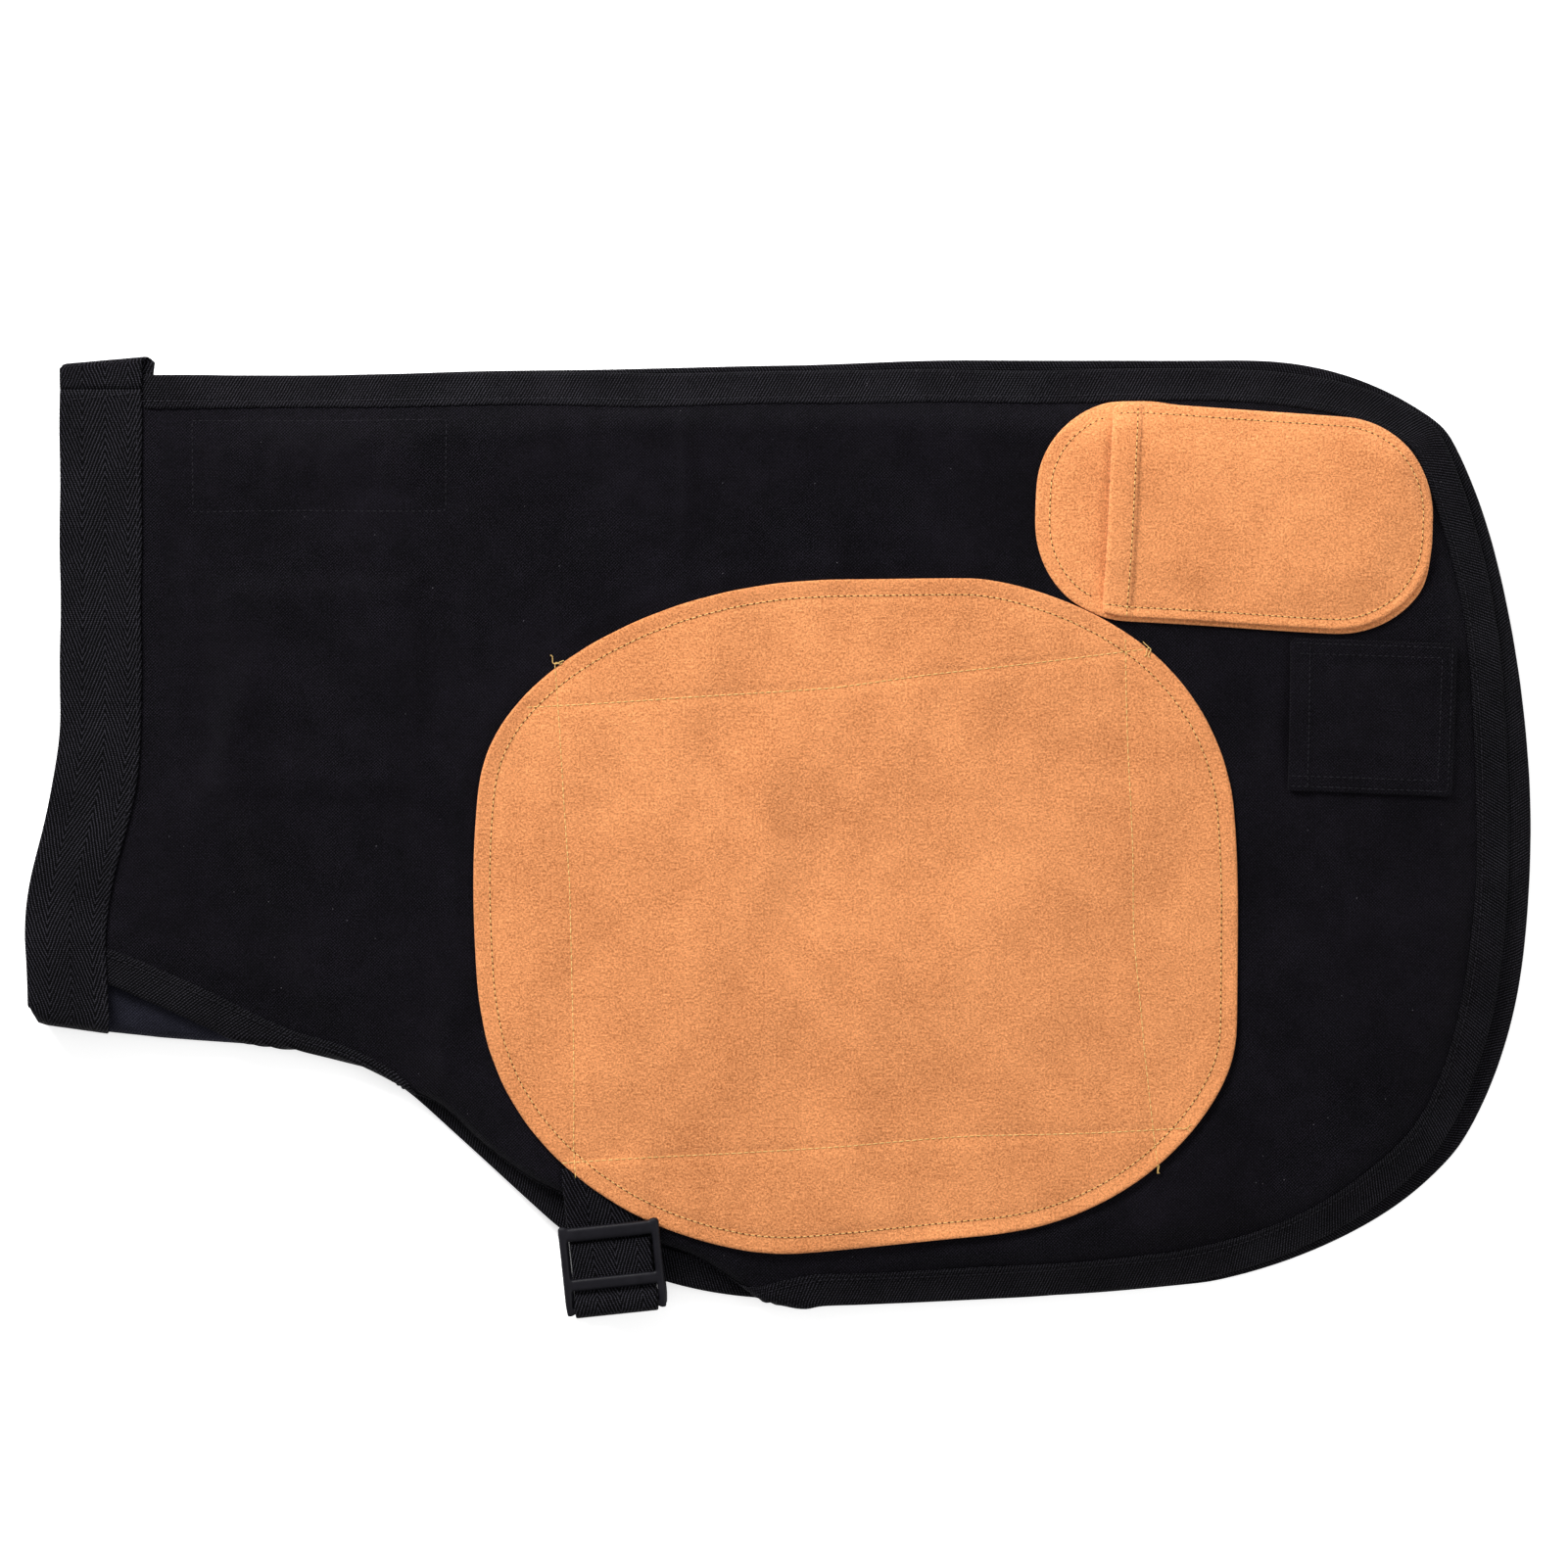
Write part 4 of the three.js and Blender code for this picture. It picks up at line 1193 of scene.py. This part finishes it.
def knife_pocket(leg):
    full, fine = (1.0, 2.6) if leg.side == "upper" else (0.6, 5.0)
    back = resample(plan_outline(f"{leg.side}_knife_pocket_back", 2), 2.0, closed=True)
    front = resample(hull_outline(f"{leg.side}_knife_pocket_front", 1.2), 1.6, closed=True)
    front_near = Nearest(front)
    index, depth = front_near.find(back)
    own = KNIFE.own(back)
    covered = smoothstep((own[:, 0] + 45) / 15) * smoothstep((own[:, 1] + 30) / 20)
    back = back + front_near.inward[index] * ((-depth - 0.2).clip(0) * covered)[:, None]
    back = resample(blurred_loop(back, 1.5), 2.0, closed=True)
    back_near = Nearest(back)
    own = KNIFE.own(front)
    sewn_edge = front[own[:, 0] > KNIFE_MOUTH + 2.5]
    swell = wrinkle_field(91, 16, 12, 10)

    def back_relief(points, depth):
        groove = 0.4 * bell(back_near.depth(points) - 6.4, 1.6)
        along = KNIFE.own(points)[:, 0]
        lobe = 1 - smoothstep((along - KNIFE_MOUTH + 2) / 4)
        rise = lobe * smoothstep(depth / 18) * 0.5
        return rise * 0, rise - groove * lobe

    def front_relief(points, depth):
        along = KNIFE.own(points)[:, 0]
        sewn = distance_to_line(points, sewn_edge)
        dome = 2.3 * full * smoothstep((sewn - 5.0) / 24)
        dome += (0.35 * sample(swell, points)).clip(-0.3, 0.7) * full * smoothstep((sewn - 5) / 12)
        gape = 0.9 * full * bell(along - KNIFE_MOUTH, 16) * smoothstep(sewn / 20)
        groove = 0.45 * bell(sewn - 4.6, 1.5)
        hem = 1.25 * smoothstep((KNIFE_MOUTH + KNIFE_HEM - along) / 0.9)
        hem_seam = 0.35 * bell(along - KNIFE_MOUTH - KNIFE_HEM + 2.2, 1.2)
        lip = 0.5 * (1 - smoothstep((along - KNIFE_MOUTH) / 1.4))
        raised = dome + gape
        return raised, raised + hem - groove - hem_seam - lip

    piece = leg.sheet("knife_pocket_panel", back, FRONT, SUEDE, SUEDE_POCKET,
                      [0.6, 2.0, 4.2, 6.4, 8.6], 4.0, back_relief)
    leg.declare(piece, "knife_pocket_back", "tan_suede", back)

    across = np.linspace(-49, 49, 50)
    extra = np.vstack([np.column_stack([np.full(50, KNIFE_MOUTH + offset), across])
                       for offset in (0.8, 2.0, 9.0, 10.6, 11.4, 12.6, 13.2, 14.0, 15.4)])
    piece = leg.sheet("knife_pocket_flap", front, KNIFE_FRONT, SUEDE, SUEDE_POCKET,
                      [0.6, 1.8, 3.2, 4.6, 6.0], fine, front_relief, extra=KNIFE.row(extra))
    leg.declare(piece, "knife_pocket_front", "tan_suede", front, on=f"{leg.side}_knife_pocket_panel")

    def front_height(points):
        return KNIFE_FRONT + SUEDE + front_relief(points, front_near.depth(points).clip(0))[1] + 0.1

    def back_height(points):
        return FRONT + SUEDE + back_relief(points, back_near.depth(points).clip(0))[1] + 0.1

    own = KNIFE.own(front + front_near.inward * 4.6)
    sewn = own[:, 0] > KNIFE_MOUTH + 5.4
    begin = int(np.argmax(sewn & ~np.roll(sewn, 1)))
    own = np.roll(own, -begin, axis=0)[: int(sewn.sum())]
    own = np.vstack([(KNIFE_MOUTH + 0.9, own[0, 1]), own, (KNIFE_MOUTH + 0.9, own[-1, 1])])
    sewn_line = KNIFE.row(own)
    lobe_line = back + back_near.inward * 6.6
    own = KNIFE.own(lobe_line)
    begin = int(np.argmax((own[:, 0] < KNIFE_MOUTH - 2) & (np.roll(own[:, 0], 1) >= KNIFE_MOUTH - 2)))
    lobe_line, own = np.roll(lobe_line, -begin, axis=0), np.roll(own, -begin, axis=0)
    lobe_line = lobe_line[own[:, 0] < KNIFE_MOUTH - 2]
    hem_line = np.column_stack([np.full(60, KNIFE_MOUTH + KNIFE_HEM - 2.2), np.linspace(-48.5, 48.5, 60)])
    hem_line = KNIFE.row(hem_line)
    for name, line, height in (("sewn", sewn_line, front_height), ("lobe", lobe_line, back_height),
                               ("hem", hem_line, front_height)):
        leg.sewn_leather(f"knife_stitches_{name}", line, height)


def tool_pocket(leg):
    full, fine = (1.0, 2.6) if leg.side == "upper" else (0.6, 5.0)
    loop = resample(hull_outline(f"{leg.side}_tool_pocket", 0.5), 1.6, closed=True)
    own = TOOL.own(loop)
    mouth = -TOOL_LENGTH / 2
    sewn_edge = loop[own[:, 0] > mouth + 2.0]
    swell = wrinkle_field(93, 14, 9, 60)

    def relief(points, depth):
        along = TOOL.own(points)[:, 0]
        sewn = distance_to_line(points, sewn_edge)
        dome = 1.6 * full * smoothstep((sewn - 6.0) / 18)
        dome += (0.3 * sample(swell, points)).clip(-0.2, 0.6) * smoothstep((sewn - 6) / 10)
        gape = 1.6 * full * bell(along - mouth, 12) * smoothstep(sewn / 14)
        groove = 0.22 * bell(sewn - 2.2, 1.0) + 0.22 * bell(sewn - 7.0, 1.0)
        hem = 0.7 * smoothstep((mouth + 11 - along) / 1.0)
        fold = 0.55 * (1 - smoothstep((sewn - 7.6) / 1.0))
        raised = dome + gape
        return raised, raised + hem + fold - groove

    piece = leg.sheet("tool_pocket_panel", loop, FRONT - 0.15, 0.9, POCKET_CANVAS,
                      [0.6, 1.6, 2.6, 4.2, 6.2, 7.6, 9.2], fine, relief)
    leg.declare(piece, "tool_pocket", "black_canvas", loop)
    near = Nearest(loop)

    def height(points):
        return FRONT + 0.75 + relief(points, near.depth(points).clip(0))[1] + 0.1

    for name, inset in (("edge", 2.2), ("second", 7.0)):
        begin, right, top = mouth + 1.5, TOOL_LENGTH / 2 - inset, TOOL_WIDTH / 2 - inset
        line = TOOL.row(np.array([(begin, -top), (right, -top), (right, top), (begin, top)]))
        leg.black_seam(f"tool_stitches_{name}", line, height)
    half = TOOL_WIDTH / 2 - 2
    hem = TOOL.row(np.array([(mouth + 9.2, -half), (mouth + 9.2, half)]))
    leg.black_seam("tool_stitches_hem", hem, height)


def magnet_pocket(leg):
    """The canvas strip behind the magnets, and the stitched rectangle that shows in front."""
    loop = resample(rectangle(MAGNET_LOW, MAGNET_HIGH), 1.5, closed=True)
    level = FOLD_LEVEL - box("lower_magnet_backing")[0][2] - CANVAS_MIDDLE
    piece = leg.sheet("magnet_strip", loop, level - 0.8, 0.8, POCKET_CANVAS, [0.6, 2.0, 4.0], 5.0)
    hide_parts(f"{leg.side}_magnet_backing")
    line = resample(rectangle(MAGNET_LOW, MAGNET_HIGH, 2.5), 1.0, closed=True)
    leg.black_seam("magnet_stitches", line, CANVAS_HALF - 0.35, closed=True)
    for number in range(1, 5):
        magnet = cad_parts[f"{leg.side}_magnet_{number}"]
        magnet.data.materials.clear()
        magnet.data.materials.append(METAL)


for leg in (upper, lower):
    knife_pocket(leg)
    tool_pocket(leg)
    magnet_pocket(leg)


# ---------------------------------------------------------------- thigh straps, tabs and buckles

BAR_LEVEL = float(sum(box("upper_strap_tab")[k][2] for k in (0, 1)) / 2)


def bar_level(leg):
    """Height of a buckle's anchor bar above the floor."""
    return BAR_LEVEL if leg.side == "upper" else 2 * FOLD_LEVEL - BAR_LEVEL


def thigh_strap(leg):
    """Webbing sewn along the inside of the leg at its outer edge and led in between the legs."""
    low, high = box(f"{leg.side}_thigh_strap")
    start, end = high[1] - 7.5, low[1]
    beyond = box(f"{leg.side}_thigh_backing")[1][1]
    y = np.arange(start, end, -3.0)
    plan = np.column_stack([np.full(len(y), STRAP_X), y])
    under = CANVAS_HALF + 0.25 + STRAP / 2
    level = under + (2.2 - under + STRAP / 2 + 0.3) * smoothstep((beyond + 24 - y) / 22)
    path = leg.place(plan, -level)
    piece = ribbon(f"{leg.side}_strap", path, (1, 0, 0), leg.body)
    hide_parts(f"{leg.side}_thigh_strap")
    for offset in (-STRAP_WIDTH / 2 + 2.5, STRAP_WIDTH / 2 - 2.5):
        line = np.array([(STRAP_X + offset, start - 3), (STRAP_X + offset, start - 52)])
        edge = "left" if offset < 0 else "right"
        leg.black_seam(f"strap_stitches_{edge}", line, -(under + STRAP / 2 + 0.05), inside=True)


def strap_tab(leg):
    """Webbing that comes out from under the thigh patch and loops round the buckle's anchor bar."""
    bar, sign = bar_level(leg), leg.out
    radius = 2.6
    arm = bar - sign * (radius + 0.05)
    half = 0.5 * math.pi
    turn = np.linspace(-half, half, 16)
    inner_end = 66.0
    run_in = np.arange(inner_end, 0.4, -2.5)
    inner = [(s, arm - bar) for s in run_in]
    loop = [(-radius * math.cos(a), sign * radius * math.sin(a)) for a in turn]
    over = [(1.5, radius), (3.2, radius - 0.15), (4.5, radius - 0.7), (5.4, radius - 1.9),
            (6.1, -radius + 2.1), (7.6, -radius + 1.6), (15.0, -radius + 1.5), (24.0, -radius + 1.5),
            (31.0, -radius + 1.5)]
    profile = resample(np.vstack([inner, loop, np.array(over) * [1, sign]]), 1.2)
    place = LOCK_PLACE + profile[:, :1] * LOCK_IN
    path = np.column_stack([place, bar + profile[:, 1]])
    under_patch = leg.place(place, FRONT + STRAP / 2 - 0.2)[:, 2]
    deep = smoothstep((profile[:, 0] - 24) / 16) * (np.arange(len(profile)) < len(profile) * 0.55)
    path[:, 2] += (under_patch - path[:, 2]) * deep
    piece = ribbon(f"{leg.side}_tab", path, (*LOCK_ACROSS, 0), leg.body)
    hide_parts(f"{leg.side}_strap_tab")
    run_along(path)[-1]


RAIL_X = 21.6  # from a buckle's middle line to the middle of each rail


def rounded_box(middle, half, round_by):
    """A block with rounded edges as (vertices, faces), from a subdivided cube pushed onto its shape."""
    steps = 9
    line = np.linspace(-1, 1, steps)
    vertices, faces = [], []
    for axis in range(3):
        for sign in (-1, 1):
            base = len(vertices)
            for a in line:
                for b in line:
                    place = np.zeros(3)
                    place[axis] = sign
                    place[(axis + 1) % 3], place[(axis + 2) % 3] = a, b
                    vertices.append(place)
            for i in range(steps - 1):
                for j in range(steps - 1):
                    quad = [base + i * steps + j, base + (i + 1) * steps + j, base + (i + 1) * steps + j + 1,
                            base + i * steps + j + 1]
                    faces.append(quad if sign > 0 else quad[::-1])
    unit = np.array(vertices)
    half = np.array(half, float)
    core = half - round_by
    shaped = unit * half
    held = np.clip(shaped, -core, core)
    away = shaped - held
    length = np.linalg.norm(away, axis=1, keepdims=True)
    shaped = held + away / np.maximum(length, 1e-9) * round_by * (length > 1e-9)
    return shaped + middle, faces


def lock_shape():
    """Vertices and faces of the frame: two rails, an anchor bar, a middle bar and a wide end bar."""
    parts = []
    for sign in (-1, 1):
        parts.append(rounded_box((sign * RAIL_X, 18.2, 0), (1.9, 20.4, 1.7), 1.45))
        parts.append(rounded_box((sign * (RAIL_X - 0.3), 36.2, 0), (2.3, 3.4, 1.7), 1.6))
    parts.append(rounded_box((0, 0, 0), (22.0, 1.7, 1.62), 1.55))
    parts.append(rounded_box((0, 12.0, 0.05), (22.0, 2.9, 1.6), 1.45))
    parts.append(rounded_box((0, 35.6, 0), (22.6, 3.1, 1.7), 1.6))
    parts.append(rounded_box((0, 33.4, 0.1), (19.6, 1.3, 1.15), 1.1))
    vertices, faces, base = [], [], 0
    for part, quads in parts:
        vertices.append(part)
        faces += [[base + i for i in quad] for quad in quads]
        base += len(part)
    return np.vstack(vertices), faces


def ladder_lock(name, place, level, tilt, body, node, face):
    """A moulded buckle lying flat, made from rounded blocks joined into one skin."""
    vertices, faces = lock_shape()
    c, s = math.cos(math.radians(tilt)), math.sin(math.radians(tilt))
    turned_xy = vertices[:, :2] @ np.array([[c, s], [-s, c]])
    placed = np.column_stack([turned_xy + place, vertices[:, 2] * face + level])
    if face < 0:
        faces = [f[::-1] for f in faces]
    piece = make_mesh(name, placed, faces, PLASTIC, body)
    remesh = piece.modifiers.new("skin", "REMESH")
    remesh.mode = "VOXEL"
    remesh.voxel_size = 0.42 * MM
    remesh.use_smooth_shade = True
    smooth = piece.modifiers.new("soft", "CORRECTIVE_SMOOTH")
    smooth.use_only_smooth = True
    smooth.factor = 0.6
    smooth.iterations = 6
    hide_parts(node)


for leg in (upper, lower):
    thigh_strap(leg)
    strap_tab(leg)
    ladder_lock(f"{leg.side}_buckle", LOCK_PLACE, bar_level(leg), LOCK_TILT, f"{leg.side}_lock",
                f"{leg.side}_ladder_lock", leg.out)

belt_low, belt_high = box("belt_ladder_lock")
belt_line, belt_heading = tail_plan(*UPPER_TAIL)
ladder_lock("belt_buckle", belt_line[-1], float(belt_low[2] + belt_high[2]) / 2, UPPER_TAIL[0] + 180,
            "upper_leg", "belt_ladder_lock", 1)


# ---------------------------------------------------------------- canvas of the fold at the crotch

# Where the canvas between the legs turns under, from the waistband to the crotch.
FOLD_LINE = [(-318, -90.0), (-312, -91.0), (-295, -92.8), (-289, -93.5), (-271, -95.0), (-250, -96.6),
             (-235, -97.8), (-226, -98.8)]


def centre_fold():
    """Canvas that joins the two legs at the crotch and curls down from under the upper leg's binding. Its
    lighter, bluer material is painted sheen where the canvas rolls round.
    """
    columns = resample(np.array(FOLD_LINE, float), 2.0)
    edge = upper.near.loop
    edge = edge[(edge[:, 1] < -40) & (edge[:, 0] < -150)]
    edge = edge[np.argsort(edge[:, 0])]
    reach = (np.interp(columns[:, 0], edge[:, 0], edge[:, 1]) - columns[:, 1] + 5.0).clip(3.5)
    count, rows = len(columns), 15
    t = np.linspace(0, 1, rows)
    swell = wrinkle_field(121, 14, 8, 20)
    inner = columns + np.column_stack([np.zeros(count), reach])
    covered = FOLD_LEVEL + CANVAS_MIDDLE + upper.lift(inner) - BINDING_HALF - 0.7
    under = np.minimum(covered, 14.9)
    outer = np.minimum(FOLD_LEVEL - CANVAS_MIDDLE + lower.lift(columns), under - 1)
    rings = []
    for face in (1, -1):
        for k in (range(rows) if face > 0 else range(rows - 1, -1, -1)):
            plan = columns + np.column_stack([np.zeros(count), (1 - t[k]) * reach + 0.4])
            fall = 1 - math.sqrt(max(0.0, 1 - t[k] ** 2.6))
            z = under + (outer - under) * fall
            z = z + 0.25 * sample(swell, plan) * (1 - fall) * t[k] - (1 - face) * 0.45
            rings.append(np.column_stack([plan, z]))
    rings = np.array(rings).transpose(1, 0, 2)
    uv = np.zeros((count, 2 * rows, 2))
    uv[:, :, 0] = columns[:, None, 0]
    uv[:, :, 1] = np.concatenate([1 - t, 1 - t[::-1]])[None] * reach[:, None]
    piece = sweep("centre_fold", rings, FOLD_CANVAS_PAINTED_SHEEN, "lower_leg", uv)
    length = float(run_along(columns)[-1])


centre_fold()


# ---------------------------------------------------------------- floor, light and camera

PHOTO_WIDTH = 0.7285  # what the photo spans at the cloth, in metres
LENS, SENSOR = 135, 36


def pale_floor():
    mesh = bpy.data.meshes.new("floor")
    span = 80.0
    steps = 40
    line = np.linspace(-span / 2, span / 2, steps + 1)
    vertices = [(x, y, -0.0002) for y in line for x in line]
    faces = [(j * (steps + 1) + i, j * (steps + 1) + i + 1, (j + 1) * (steps + 1) + i + 1,
              (j + 1) * (steps + 1) + i) for j in range(steps) for i in range(steps)]
    mesh.from_pydata(vertices, [], faces)
    floor = bpy.data.objects.new("floor", mesh)
    bpy.context.scene.collection.objects.link(floor)
    graph = Graph("floor_paper", roughness=1.0, specular=0.0)
    graph.shader.inputs["Base Color"].default_value = (0.93, 0.93, 0.93, 1)
    graph.shader.inputs["Emission Color"].default_value = (1, 1, 1, 1)
    graph.shader.inputs["Emission Strength"].default_value = 0.55
    mesh.materials.append(graph.material)


def area_light(name, place, target, size, power):
    data = bpy.data.lights.new(name, "AREA")
    data.shape = "RECTANGLE"
    data.size, data.size_y = size
    data.energy = power
    light = bpy.data.objects.new(name, data)
    light.location = place
    light.rotation_euler = (Vector(target) - Vector(place)).to_track_quat("-Z", "Y").to_euler()
    bpy.context.scene.collection.objects.link(light)


def set_the_scene():
    pale_floor()
    scene = bpy.context.scene
    world = bpy.data.worlds.new("studio")
    world.use_nodes = True
    background = world.node_tree.nodes["Background"]
    background.inputs["Color"].default_value = (1, 1, 1, 1)
    background.inputs["Strength"].default_value = 0.42
    scene.world = world
    area_light("key", (-0.9, 1.5, 1.05), (0, 0, 0), (1.0, 0.6), 66)
    area_light("fill", (1.5, -0.5, 1.6), (0, 0, 0), (1.6, 1.2), 12)
    camera_data = bpy.data.cameras.new("camera")
    camera_data.sensor_width = SENSOR
    camera_data.lens = LENS
    camera_data.clip_end = 20
    camera = bpy.data.objects.new("camera", camera_data)
    camera.location = (0.0018, 0.0249, 0.015 + PHOTO_WIDTH * LENS / SENSOR)
    scene.collection.objects.link(camera)
    scene.camera = camera
    scene.view_settings.view_transform = "Standard"


set_the_scene()
